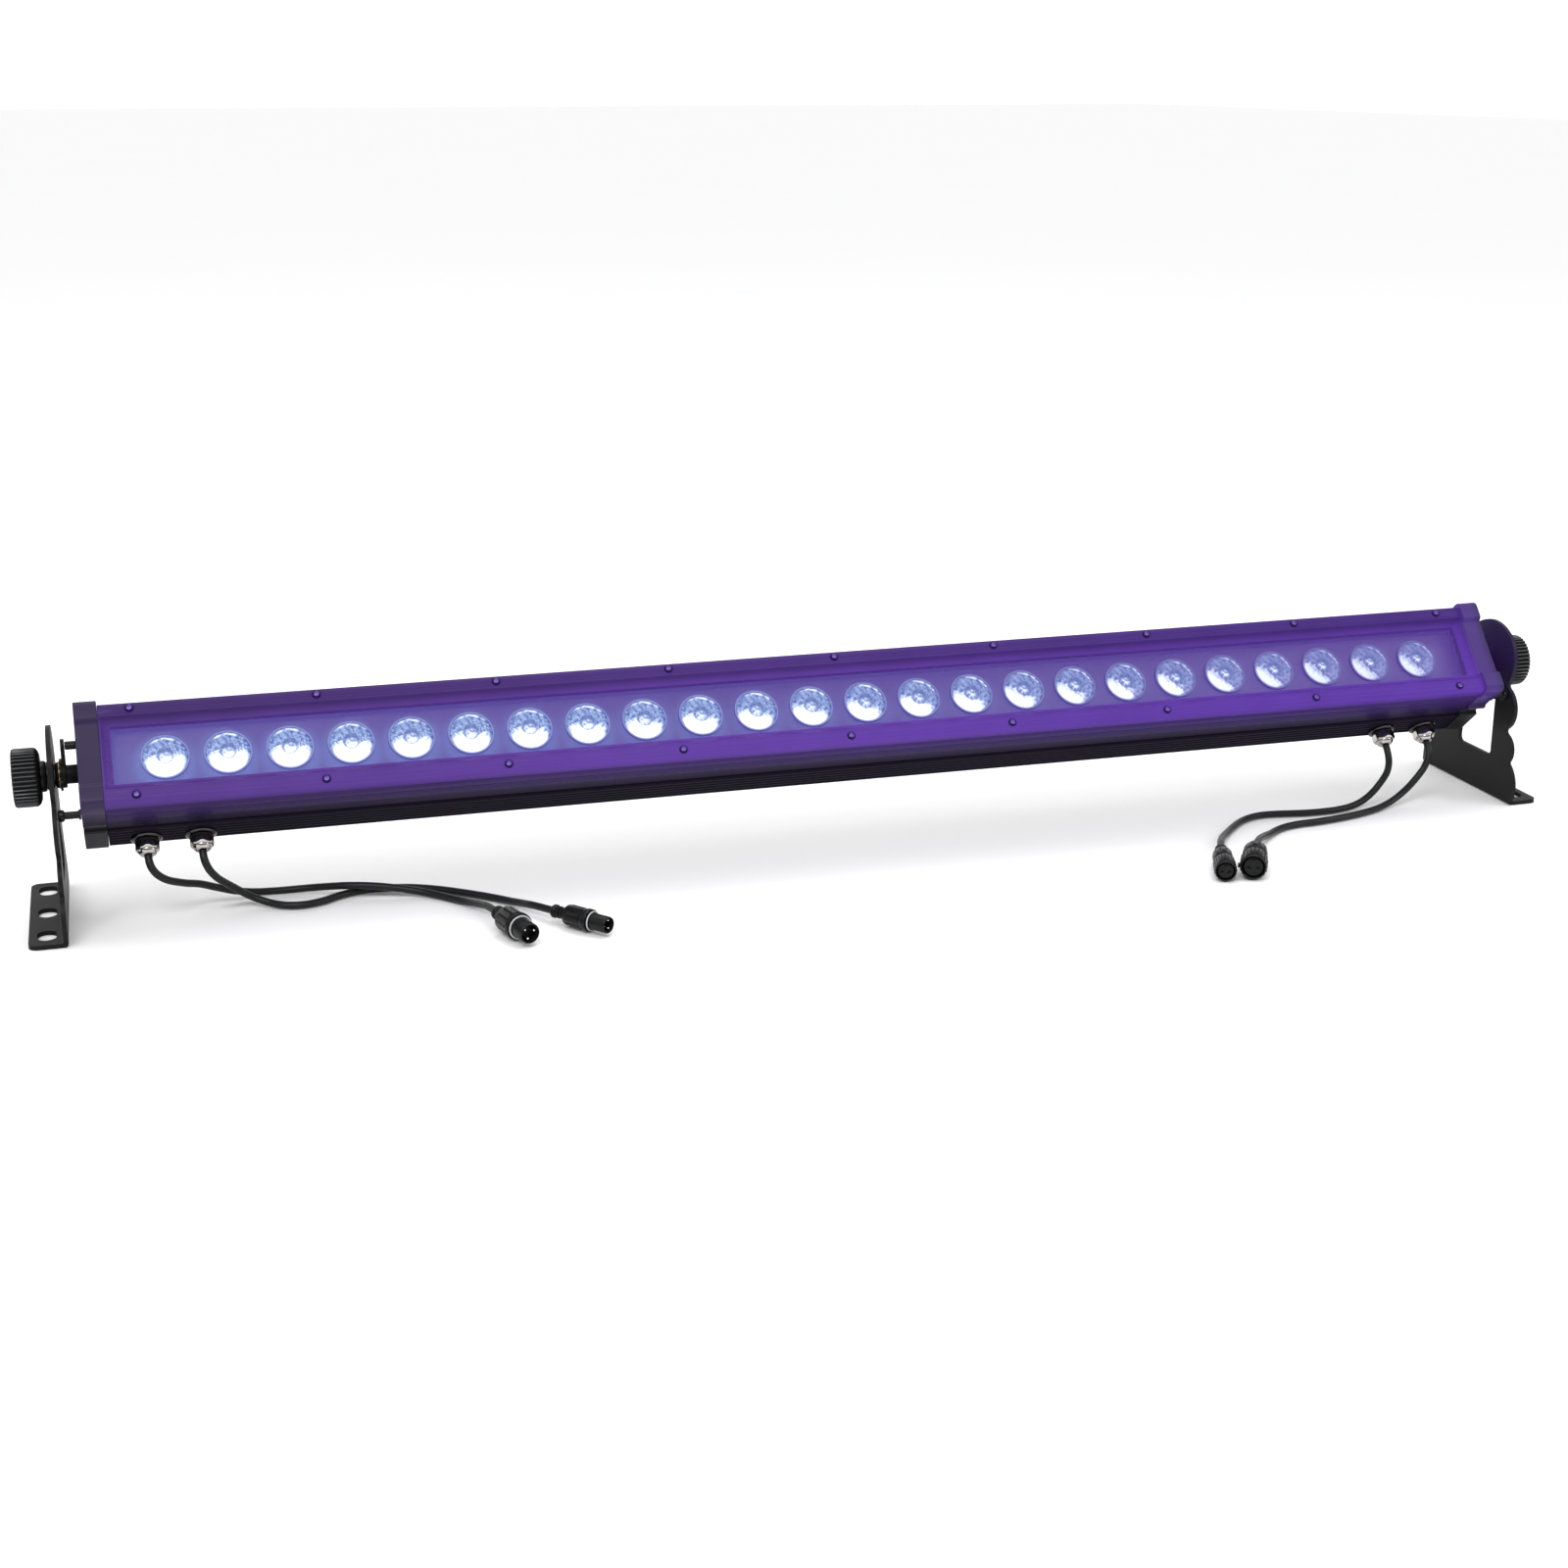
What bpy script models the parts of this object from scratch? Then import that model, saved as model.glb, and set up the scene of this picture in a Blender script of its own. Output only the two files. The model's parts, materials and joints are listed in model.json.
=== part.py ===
"""LED strip batten: a tilting linear stage light on two end brackets, with four short tail leads.

The light head is one metre of aluminium extrusion with a sealed window over a row of lenses. It hangs
between two bent steel brackets, turns about a pivot near each end, and a hand knob clamps each pivot.

Every length here is in millimetres, and MM turns it into metres where a mesh is made.
World axes: X along the bar, Y to the back, Z up, floor at Z = 0.
Head axes: x along the bar, y across the window, z out of the window, zero on the pivot axis.
"""

import math

import bmesh
import bpy
from mathutils import Matrix, Vector

MM = 0.001

# The head: a straight extrusion that leans back about the pivot axis
BAR_HALF = 500.0
FACE_ELEVATION = 41.4
PIVOT_Y = -15.5
PIVOT_Z = 102.7
FACE_Z = 28.0
BACK_Z = -41.0
SIDE_Y = 36.0
GAP = 0.3

# The row of lenses
LED_COUNT = 24
LED_PITCH = 40.0
LENS_TOP_RADIUS = 15.7
LENS_FOOT_RADIUS = 9.0
LENS_TOP_Z = 16.2
LENS_PLATE_Z = (3.8, 5.6)
BOARD_Z = (-0.3, 1.3)

# The bezel that clamps the window glass, and its screws
WINDOW_HALF = (493.3, 20.7)
SLOPE_HALF = (498.5, 25.8)
SLOPE_FOOT_Z = 22.8
BEZEL_UNDERSIDE_Z = 22.0
BEZEL_SKIRT_Z = 18.2
SCREW_COUNT = 9
SCREW_PITCH = 120.0
SCREW_ROW_Y = 31.0
SCREW_HEAD_RADIUS = 2.9
SCREW_SHANK_RADIUS = 1.5
SCREW_SEAT_Z = 28.3
SCREW_TIP_Z = 20.6

# The window glass and its gasket
GLASS_Z = (18.7, 21.7)
GLASS_HALF = (496.5, 24.1)
GASKET_Z = (17.2, 18.4)
GASKET_INNER = (493.3, 20.9)

# The end caps and what holds the head to the brackets
CAP_THICKNESS = 15.0
BRACKET_INNER_X = 530.0
PLATE_THICKNESS = 3.0
HUB_RADIUS = 6.2
HUB_COLLAR_RADIUS = 8.6
ARM_PLATE_X = (522.5, 524.9)
STANDOFF_SPOT = (15.0, 12.0)
STANDOFF_RADIUS = 2.8
GUIDE_SPOT = (-33.0, 8.5)
GUIDE_RADIUS = 2.5

# The knobs
KNOB_RADIUS = 19.4
KNOB_RIBS = 30
KNOB_RIB_DEPTH = 1.3
KNOB_X = (538.4, 556.0)
KNOB_BOSS_RADIUS = 10.2
WASHER_X = (533.3, 534.7)
WASHER_RADIUS = 9.5
STUD_RADIUS = 3.9
STUD_HOLE_RADIUS = 4.3

# The brackets
FOOT_OUT_X = 555.0
FOOT_SLOT_RADIUS = 6.2
FOOT_SLOT_RUN = 5.6
FOOT_SLOT_X = 543.6
FOOT_SLOT_YS = (-42.6, 1.5, 46.0)

# The cable glands on the head's underside, and the leads
GLAND_XS = {"power_in": -476.0, "data_in": -441.0, "data_out": 441.0, "power_out": 476.0}
GLAND_Z = -31.0
GLAND_TIP_Y = -49.0
CABLE_RADIUS = 2.6
CONNECTOR_LENGTH = 48.0
POWER_SIZE = 1.0
DATA_SIZE = 0.82

# Each lead's route on the floor, from the gland's mouth to the connector's axis
ROUTES = {
    "power_in": [
        (-476.0, -24.8, 45.2), (-475.7, -27.2, 42.0), (-474.5, -29.1, 38.2), (-471.8, -29.7, 34.0),
        (-468.0, -28.5, 30.3), (-463.5, -26.0, 27.1), (-453.8, -19.1, 22.1), (-443.9, -11.8, 17.9),
        (-433.2, -6.7, 12.6), (-421.2, -4.6, 8.2), (-408.6, -2.8, 5.5), (-395.7, -1.4, 4.3),
        (-382.8, -1.9, 4.3), (-370.2, -5.1, 5.4), (-358.6, -10.7, 7.1), (-346.9, -16.1, 8.4),
        (-334.6, -20.3, 8.5), (-322.1, -23.6, 7.5), (-309.5, -26.5, 5.6), (-297.6, -31.1, 3.8),
        (-287.2, -38.8, 2.9), (-278.5, -48.5, 2.9), (-271.2, -59.1, 3.8), (-265.7, -70.7, 5.9),
        (-261.8, -82.9, 8.2), (-258.4, -98.7, 9.5),
    ],
    "data_in": [
        (-441.0, -24.8, 45.2), (-440.8, -27.2, 42.0), (-439.8, -29.0, 38.0), (-437.9, -29.5, 33.5),
        (-435.0, -28.4, 29.0), (-431.5, -26.1, 24.7), (-423.0, -20.5, 16.6), (-413.1, -17.8, 8.8),
        (-401.7, -21.3, 4.1), (-390.6, -27.9, 2.9), (-378.2, -30.7, 2.9), (-365.7, -27.2, 2.9),
        (-354.8, -20.2, 2.9), (-343.0, -14.8, 2.9), (-330.3, -12.6, 2.9), (-317.3, -13.5, 2.9),
        (-304.8, -16.8, 2.9), (-293.0, -22.3, 2.9), (-282.0, -29.2, 2.9), (-271.6, -37.1, 2.9),
        (-261.6, -45.4, 2.9), (-252.0, -54.1, 2.9), (-244.0, -64.3, 3.6), (-237.4, -75.3, 5.2),
        (-231.6, -86.8, 7.1), (-221.5, -102.3, 8.0),
    ],
    "data_out": [
        (441.0, -24.8, 45.2), (441.0, -27.3, 42.1), (441.0, -29.6, 38.2), (440.9, -31.2, 33.5),
        (440.2, -31.6, 28.1), (438.2, -31.2, 22.5), (430.2, -31.5, 12.4), (419.3, -34.5, 6.2),
        (407.1, -38.2, 3.6), (394.4, -40.6, 2.9), (381.4, -41.8, 2.9), (368.4, -41.5, 2.9),
        (355.6, -39.4, 2.9), (342.8, -37.1, 2.9), (329.9, -37.0, 2.9), (317.7, -41.3, 2.9),
        (307.0, -48.7, 2.9), (297.6, -57.7, 3.0), (288.7, -67.2, 3.3), (280.5, -77.2, 4.4),
        (273.3, -87.8, 5.9), (267.0, -99.1, 7.5), (259.9, -113.5, 8.0),
    ],
    "power_out": [
        (476.0, -24.8, 45.2), (475.9, -27.3, 42.1), (475.6, -29.6, 38.2), (474.4, -31.3, 33.7),
        (472.1, -32.1, 28.8), (468.7, -32.6, 23.9), (459.7, -33.6, 14.6), (448.9, -36.7, 8.2),
        (437.4, -41.5, 4.7), (425.5, -46.7, 3.2), (413.4, -51.4, 2.9), (401.1, -55.4, 2.9),
        (388.5, -58.6, 2.9), (375.7, -61.0, 2.9), (362.8, -62.7, 2.9), (349.8, -63.7, 2.9),
        (337.2, -66.6, 2.9), (325.7, -72.6, 3.0), (315.8, -80.9, 3.8), (306.4, -89.7, 5.7),
        (298.1, -99.4, 7.9), (290.6, -109.9, 9.6), (285.1, -118.4, 9.8),
    ],
}

# Which way each connector points, seen from above
CONNECTOR_HEADINGS = {
    "power_in": (13.8, -45.4),
    "data_in": (31.4, -40.0),
    "data_out": (-17.7, -43.0),
    "power_out": (-24.1, -42.4),
}

SMOOTH_ANGLE = math.radians(35)


def clear_scene():
    for obj in list(bpy.data.objects):
        bpy.data.objects.remove(obj, do_unlink=True)


def make_material(name, color, roughness, metallic=0.0):
    material = bpy.data.materials.new(name)
    material.use_nodes = True
    shader = material.node_tree.nodes["Principled BSDF"]
    shader.inputs["Base Color"].default_value = (*color, 1.0)
    shader.inputs["Roughness"].default_value = roughness
    shader.inputs["Metallic"].default_value = metallic
    return material


def make_materials():
    return {
        "anodised": make_material("black_anodised", (0.045, 0.043, 0.05), 0.42, 0.7),
        "powder": make_material("powder_coat", (0.07, 0.07, 0.072), 0.5, 0.2),
        "plastic": make_material("black_plastic", (0.05, 0.05, 0.055), 0.45),
        "nickel": make_material("nickel", (0.72, 0.7, 0.67), 0.22, 1.0),
        "steel": make_material("steel", (0.4, 0.4, 0.42), 0.32, 1.0),
        "glass": make_material("window_glass", (0.62, 0.6, 0.85), 0.05),
        "lens": make_material("lens_clear", (0.8, 0.85, 0.95), 0.08),
        "board": make_material("board_white", (0.75, 0.75, 0.78), 0.4),
        "green": make_material("board_green", (0.05, 0.22, 0.1), 0.4),
        "silver_case": make_material("driver_case", (0.6, 0.6, 0.62), 0.35, 0.9),
        "rubber": make_material("black_rubber", (0.035, 0.035, 0.037), 0.6),
        "white_rubber": make_material("white_rubber", (0.85, 0.85, 0.83), 0.5),
    }


# Shapes


def new_object(name, mesh, material, parent):
    obj = bpy.data.objects.new(name, mesh)
    bpy.context.scene.collection.objects.link(obj)
    mesh.materials.append(material)
    mesh.shade_smooth()
    mesh.set_sharp_from_angle(angle=SMOOTH_ANGLE)
    obj.parent = parent
    return obj


def mesh_from(bm, name):
    bmesh.ops.recalc_face_normals(bm, faces=bm.faces)
    mesh = bpy.data.meshes.new(name)
    bm.to_mesh(mesh)
    bm.free()
    return mesh


def prism_mesh(name, outline, x0, x1):
    """A (y, z) outline pushed along X from x0 to x1."""
    bm = bmesh.new()
    face = bm.faces.new([bm.verts.new(Vector((x0, y, z)) * MM) for y, z in outline])
    pushed = bmesh.ops.extrude_face_region(bm, geom=[face])
    moved = [v for v in pushed["geom"] if isinstance(v, bmesh.types.BMVert)]
    bmesh.ops.translate(bm, verts=moved, vec=Vector((x1 - x0, 0, 0)) * MM)
    return mesh_from(bm, name)


def box_mesh(name, low, high):
    bm = bmesh.new()
    bmesh.ops.create_cube(bm, size=1.0)
    for vert in bm.verts:
        for axis in range(3):
            vert.co[axis] = (high[axis] if vert.co[axis] > 0 else low[axis]) * MM
    return mesh_from(bm, name)


def lathe(bm, profile, sides, matrix=Matrix.Identity(4), turn=0.0):
    """Turns a closed (radius, height) profile about +Z. A point with no radius is a pole."""
    rings = []
    for radius, height in profile:
        if radius == 0.0:
            rings.append([bm.verts.new(matrix @ (Vector((0, 0, height)) * MM))])
            continue
        ring = []
        for side in range(sides):
            angle = turn + math.tau * side / sides
            spot = Vector((radius * math.cos(angle), radius * math.sin(angle), height))
            ring.append(bm.verts.new(matrix @ (spot * MM)))
        rings.append(ring)
    closed = len(rings[0]) > 1 or len(rings[-1]) > 1
    for index in range(len(rings) if closed else len(rings) - 1):
        low = rings[index]
        high = rings[(index + 1) % len(rings)]
        for side in range(sides):
            following = (side + 1) % sides
            corners = [low[side % len(low)], low[following % len(low)]]
            corners += [high[following % len(high)], high[side % len(high)]]
            bm.faces.new(list(dict.fromkeys(corners)))


def lathe_mesh(name, profile, sides, matrix=Matrix.Identity(4), turn=0.0):
    bm = bmesh.new()
    lathe(bm, profile, sides, matrix, turn)
    return mesh_from(bm, name)


def rod(radius, low, high):
    """The closed profile of a plain rod."""
    return [(0.0, low), (radius, low), (radius, high), (0.0, high)]


def along_x(side):
    """Turns +Z onto the outward direction of the bar's end: -X at the left, +X at the right."""
    return Matrix.Rotation(math.radians(90 * side), 4, "Y")


def arc_through(start, middle, end, steps):
    """Points of the circular arc from start through middle to end, without the start."""
    (ax, ay), (bx, by), (cx, cy) = start, middle, end
    double = 2 * (ax * (by - cy) + bx * (cy - ay) + cx * (ay - by))
    sa, sb, sc = ax * ax + ay * ay, bx * bx + by * by, cx * cx + cy * cy
    centre_x = (sa * (by - cy) + sb * (cy - ay) + sc * (ay - by)) / double
    centre_y = (sa * (cx - bx) + sb * (ax - cx) + sc * (bx - ax)) / double
    radius = math.hypot(ax - centre_x, ay - centre_y)
    first = math.atan2(ay - centre_y, ax - centre_x)
    through = (math.atan2(by - centre_y, bx - centre_x) - first) % math.tau
    last = (math.atan2(cy - centre_y, cx - centre_x) - first) % math.tau
    sweep = last if through < last else last - math.tau
    angles = [first + sweep * step / steps for step in range(1, steps + 1)]
    return [(centre_x + radius * math.cos(a), centre_y + radius * math.sin(a)) for a in angles]


def rounded(corners, radius, steps=4):
    """A polygon with each corner replaced by an arc of about the given radius."""
    outline = []
    for index, corner in enumerate(corners):
        here = Vector(corner)
        before = (Vector(corners[index - 1]) - here).normalized()
        after = (Vector(corners[(index + 1) % len(corners)]) - here).normalized()
        half_angle = before.angle(after) / 2
        reach = radius / math.tan(half_angle)
        centre = here + (before + after).normalized() * (radius / math.sin(half_angle))
        start = here + before * reach
        end = here + after * reach
        middle = centre + (here - centre).normalized() * radius
        outline.append(tuple(start))
        outline += arc_through(tuple(start), tuple(middle), tuple(end), steps)
    return outline


def add_boolean(obj, tool, operation):
    modifier = obj.modifiers.new(operation.lower(), "BOOLEAN")
    modifier.operation = operation
    modifier.object = tool
    modifier.solver = "EXACT"
    tool.hide_render = True
    tool.display_type = "WIRE"


def add_tool(obj, bm, operation):
    """Cuts or joins the shapes in bm, given in obj's own space."""
    tool = bpy.data.objects.new(obj.name + "_" + operation.lower(), mesh_from(bm, obj.name + "_tool"))
    bpy.context.scene.collection.objects.link(tool)
    tool.parent = obj
    add_boolean(obj, tool, operation)


def add_box(bm, low, high):
    made = bmesh.ops.create_cube(bm, size=1.0)
    for vert in made["verts"]:
        for axis in range(3):
            vert.co[axis] = (high[axis] if vert.co[axis] > 0 else low[axis]) * MM


def add_bevel(obj, width, angle_degrees=40, segments=1):
    modifier = obj.modifiers.new("bevel", "BEVEL")
    modifier.width = width * MM
    modifier.segments = segments
    modifier.limit_method = "ANGLE"
    modifier.angle_limit = math.radians(angle_degrees)
    modifier.use_clamp_overlap = True


def mirrored(half):
    """Closes an outline given for y > 0 with its mirror image."""
    return half + [(-y, z) for y, z in reversed(half)]


# The head


def led_xs():
    first = -LED_PITCH * (LED_COUNT - 1) / 2
    return [first + LED_PITCH * index for index in range(LED_COUNT)]


def screw_xs():
    first = -SCREW_PITCH * (SCREW_COUNT - 1) / 2
    return [first + SCREW_PITCH * index for index in range(SCREW_COUNT)]


def screw_spots():
    return [(x, side * SCREW_ROW_Y) for side in (1, -1) for x in screw_xs()]


def housing_half_outline():
    """The extrusion's right half, from the window rebate round the fins to the middle of the back."""
    rebate_y = 25.0
    flange_y = 33.3
    flange_z = BEZEL_UNDERSIDE_Z - GAP - 1.1
    points = [(rebate_y, flange_z), (flange_y, flange_z), (flange_y, BEZEL_SKIRT_Z - GAP)]
    points += [(SIDE_Y, BEZEL_SKIRT_Z - GAP), (SIDE_Y, 2.0), (SIDE_Y - 0.9, 1.1), (SIDE_Y - 0.9, -14.6)]
    fin_pitch, fin_depth, fin_width = 4.0, 2.6, 2.0
    for index in range(6):
        top = -15.6 - fin_pitch * index
        points += [(SIDE_Y - fin_depth, top), (SIDE_Y - fin_depth, top - fin_pitch + fin_width)]
        points += [(SIDE_Y, top - fin_pitch + fin_width), (SIDE_Y, top - fin_pitch)]
    points[-1] = (SIDE_Y, BACK_Z + 1.5)
    points += [(SIDE_Y - 1.5, BACK_Z)]
    for index in range(6):
        near = SIDE_Y - 4.5 - 5.4 * index
        points += [(near, BACK_Z), (near, BACK_Z + 3.4), (near - 2.4, BACK_Z + 3.4), (near - 2.4, BACK_Z)]
    return points


def make_housing(mats, head):
    """The open channel at the front holds the lenses and the tunnel behind it holds the electronics."""
    ledge_z = GASKET_Z[0] - GAP
    web_z = BOARD_Z[0] - GAP
    front = [(GASKET_INNER[1], web_z), (GASKET_INNER[1], ledge_z), (25.0, ledge_z)]
    half = front + housing_half_outline()
    obj = new_object("housing_extrusion", prism_mesh("housing", mirrored(half), -BAR_HALF, BAR_HALF),
                     mats["anodised"], head)
    bm = bmesh.new()
    reach = BAR_HALF + 5
    add_box(bm, (-reach, -30.0, -35.0), (reach, 30.0, -4.6))
    for side in (-1, 1):
        low, high = sorted((side * 24.0, side * 32.5))
        add_box(bm, (-reach, low, -1.0), (reach, high, 12.5))
    add_tool(obj, bm, "DIFFERENCE")
    bm = bmesh.new()
    for x, y in screw_spots():
        spot = Matrix.Translation(Vector((x, y, 0)) * MM)
        lathe(bm, rod(SCREW_SHANK_RADIUS + GAP, SCREW_TIP_Z - 2.5, FACE_Z), 8, spot)
    for x in GLAND_XS.values():
        spot = Matrix.Translation(Vector((x, 0, GLAND_Z)) * MM) @ Matrix.Rotation(math.radians(90), 4, "X")
        lathe(bm, rod(6.4, 25.0, SIDE_Y + 5), 16, spot)
    add_tool(obj, bm, "DIFFERENCE")


def make_bezel(mats, head):
    half = [(25.4, BEZEL_UNDERSIDE_Z), (25.4, 24.6), (33.6, 24.6), (33.6, BEZEL_SKIRT_Z)]
    half += [(SIDE_Y, BEZEL_SKIRT_Z), (SIDE_Y, FACE_Z - 3.6)]
    half += arc_through((SIDE_Y, FACE_Z - 3.6), (SIDE_Y - 1.05, FACE_Z - 1.05), (SIDE_Y - 3.6, FACE_Z), 5)
    reach = BAR_HALF - 0.4
    mesh = prism_mesh("bezel", mirrored(half), -reach, reach)
    obj = new_object("bezel_frame", mesh, mats["anodised"], head)
    bm = bmesh.new()
    levels = [(WINDOW_HALF, BEZEL_UNDERSIDE_Z - 2), (WINDOW_HALF, SLOPE_FOOT_Z), (SLOPE_HALF, FACE_Z)]
    levels += [(SLOPE_HALF, FACE_Z + 2)]
    loops = []
    for (half_x, half_y), z in levels:
        corners = [(-half_x, -half_y), (half_x, -half_y), (half_x, half_y), (-half_x, half_y)]
        loops.append([bm.verts.new(Vector((x, y, z)) * MM) for x, y in corners])
    for low, high in zip(loops, loops[1:]):
        for side in range(4):
            bm.faces.new([low[side], low[(side + 1) % 4], high[(side + 1) % 4], high[side]])
    bm.faces.new(loops[0])
    bm.faces.new(loops[-1])
    for x, y in screw_spots():
        spot = Matrix.Translation(Vector((x, y, 0)) * MM)
        lathe(bm, rod(SCREW_SHANK_RADIUS + GAP, BEZEL_UNDERSIDE_Z - 2, FACE_Z + 2), 8, spot)
    add_tool(obj, bm, "DIFFERENCE")


def make_bezel_screws(mats, head):
    """Low domed heads on the bezel's strips, over shanks that reach the extrusion."""
    profile = [(0.0, SCREW_TIP_Z), (SCREW_SHANK_RADIUS, SCREW_TIP_Z), (SCREW_SHANK_RADIUS, SCREW_SEAT_Z)]
    profile += [(SCREW_HEAD_RADIUS, SCREW_SEAT_Z), (SCREW_HEAD_RADIUS, SCREW_SEAT_Z + 0.5)]
    profile += [(SCREW_HEAD_RADIUS * 0.6, SCREW_SEAT_Z + 1.4), (0.0, SCREW_SEAT_Z + 1.4)]
    mesh = lathe_mesh("bezel_screw", profile, 8)
    for row, side in (("top", 1), ("bottom", -1)):
        for index, x in enumerate(screw_xs()):
            screw = new_object(f"{row}_bezel_screw_{index + 1}", mesh, mats["steel"], head)
            screw.location = Vector((x, side * SCREW_ROW_Y, 0)) * MM


def make_window(mats, head):
    low = (-GLASS_HALF[0], -GLASS_HALF[1], GLASS_Z[0])
    high = (GLASS_HALF[0], GLASS_HALF[1], GLASS_Z[1])
    glass = new_object("window_glass", box_mesh("glass", low, high), mats["glass"], head)
    add_bevel(glass, 0.5)
    low = (-GLASS_HALF[0], -GLASS_HALF[1], GASKET_Z[0])
    high = (GLASS_HALF[0], GLASS_HALF[1], GASKET_Z[1])
    gasket = new_object("window_gasket", box_mesh("gasket", low, high), mats["rubber"], head)
    bm = bmesh.new()
    add_box(bm, (-GASKET_INNER[0], -GASKET_INNER[1], 0), (GASKET_INNER[0], GASKET_INNER[1], FACE_Z))
    add_tool(gasket, bm, "DIFFERENCE")


def make_led_board(mats, head):
    half_x = BAR_HALF - 8
    low = (-half_x, -16.0, BOARD_Z[0])
    mesh = box_mesh("led_board", low, (half_x, 16.0, BOARD_Z[1]))
    board = new_object("led_board", mesh, mats["board"], head)
    bm = bmesh.new()
    for x in led_xs():
        add_box(bm, (x - 3.5, -3.5, BOARD_Z[1] - 0.4), (x + 3.5, 3.5, BOARD_Z[1] + 1.4))
    add_tool(board, bm, "UNION")


def make_lens_array(mats, head):
    """One moulding: a carrier plate with a lens cone over each emitter."""
    half_x = BAR_HALF - 8
    low = (-half_x, -14.0, LENS_PLATE_Z[0])
    mesh = box_mesh("lens_plate", low, (half_x, 14.0, LENS_PLATE_Z[1]))
    plate = new_object("lens_array", mesh, mats["lens"], head)
    bm = bmesh.new()
    profile = [(0.0, LENS_PLATE_Z[0] + 0.5), (LENS_FOOT_RADIUS, LENS_PLATE_Z[0] + 0.5)]
    profile += [(LENS_TOP_RADIUS, LENS_TOP_Z - 1.2), (LENS_TOP_RADIUS - 1.5, LENS_TOP_Z), (0.0, LENS_TOP_Z)]
    for x in led_xs():
        lathe(bm, profile, 12, Matrix.Translation(Vector((x, 0, 0)) * MM))
    add_tool(plate, bm, "UNION")


def make_electronics(mats, head):
    driver = new_object("driver_unit", box_mesh("driver", (-230.0, -27.0, -33.0), (60.0, 27.0, -7.0)),
                        mats["silver_case"], head)
    add_bevel(driver, 2.0)
    board = new_object("control_board", box_mesh("control", (110.0, -27.0, -33.0), (300.0, 27.0, -31.4)),
                       mats["green"], head)
    bm = bmesh.new()
    blocks = [(120, -22, 18, 14, 14), (148, -24, 26, 20, 9), (190, -10, 14, 14, 3), (230, -24, 22, 12, 11)]
    blocks += [(262, 2, 28, 20, 8), (150, 8, 20, 12, 5)]
    for x, y, length, width, height in blocks:
        add_box(bm, (x, y, -32.0), (x + length, y + width, -31.4 + height))
    add_tool(board, bm, "UNION")


def cap_outline():
    """Two rolls stand proud of the window's sides, and the flanks step back towards the fins."""
    half = [(21.2, FACE_Z)]
    half += arc_through((21.2, FACE_Z), (22.2, 30.6), (24.6, 31.4), 3)
    half += [(33.0, 31.4)]
    half += arc_through((33.0, 31.4), (36.6, 29.9), (38.1, 26.3), 4)
    half += [(38.1, 17.4), (36.7, 16.6), (36.7, 1.2), (38.1, 0.2), (38.1, -1.0)]
    half += arc_through((38.1, -1.0), (36.6, -4.4), (33.4, -5.6), 3)
    half += [(33.4, -12.0), (37.3, -13.2), (37.3, -37.5)]
    half += arc_through((37.3, -37.5), (36.2, -41.2), (32.6, -42.4), 3)
    return mirrored(half)


def make_end_cap(mats, head, name, side):
    near, far = sorted((side * (BAR_HALF + GAP), side * (BAR_HALF + CAP_THICKNESS)))
    cap = new_object(f"{name}_end_cap", prism_mesh("cap", cap_outline(), near, far), mats["plastic"], head)
    add_bevel(cap, 0.7, angle_degrees=60)
    bm = bmesh.new()
    outward = along_x(side)
    far_x = BAR_HALF + CAP_THICKNESS
    lathe(bm, rod(STUD_HOLE_RADIUS, BAR_HALF + 3.0, far_x + 5), 16, outward)
    add_tool(cap, bm, "DIFFERENCE")


def make_pivot_fittings(mats, head, name, side):
    """The pivot arm spaces the bracket off the cap; a stand-off stays it and a stud guides the bracket."""
    outward = along_x(side)
    start = BAR_HALF + CAP_THICKNESS + GAP
    end = BRACKET_INNER_X - GAP
    profile = [(STUD_HOLE_RADIUS, start), (HUB_RADIUS, start), (HUB_RADIUS, ARM_PLATE_X[0])]
    profile += [(HUB_COLLAR_RADIUS, ARM_PLATE_X[0]), (HUB_COLLAR_RADIUS, end - 1.2)]
    profile += [(HUB_COLLAR_RADIUS - 1.2, end), (STUD_HOLE_RADIUS, end)]
    hub = new_object(f"{name}_pivot_arm", lathe_mesh("hub", profile, 16, outward), mats["powder"], head)
    bm = bmesh.new()
    spot = Vector(STANDOFF_SPOT)
    reach = spot.length
    low, high = sorted((side * ARM_PLATE_X[0], side * ARM_PLATE_X[1]))
    turn = Matrix.Rotation(math.atan2(spot.y, spot.x), 4, "X")
    arm = [(6.0, -5.6), (reach, -4.6), (reach + 3.2, -3.4), (reach + 4.6, 0.0), (reach + 3.2, 3.4)]
    arm += [(reach, 4.6), (6.0, 5.6)]
    arm_verts = [bm.verts.new(turn @ (Vector((low, y, z)) * MM)) for y, z in arm]
    pushed = bmesh.ops.extrude_face_region(bm, geom=[bm.faces.new(arm_verts)])
    moved = [v for v in pushed["geom"] if isinstance(v, bmesh.types.BMVert)]
    bmesh.ops.translate(bm, verts=moved, vec=Vector((high - low, 0, 0)) * MM)
    add_tool(hub, bm, "UNION")
    rest = Matrix.Translation(Vector((0, spot.x, spot.y)) * MM) @ outward
    standoff = lathe_mesh("standoff", rod(STANDOFF_RADIUS, start, ARM_PLATE_X[0] - GAP), 14, rest)
    new_object(f"{name}_standoff", standoff, mats["steel"], head)
    guide_spot = Matrix.Translation(Vector((0, *GUIDE_SPOT)) * MM) @ outward
    guide = [(0.0, start), (GUIDE_RADIUS, start), (GUIDE_RADIUS, end - 4.2)]
    guide += [(GUIDE_RADIUS + 1.4, end - 3.4)]
    guide += [(GUIDE_RADIUS + 1.4, end - 0.8), (GUIDE_RADIUS + 0.6, end - 0.2), (0.0, end - 0.2)]
    new_object(f"{name}_guide_stud", lathe_mesh("guide", guide, 14, guide_spot), mats["plastic"], head)


# The brackets and knobs


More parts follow.
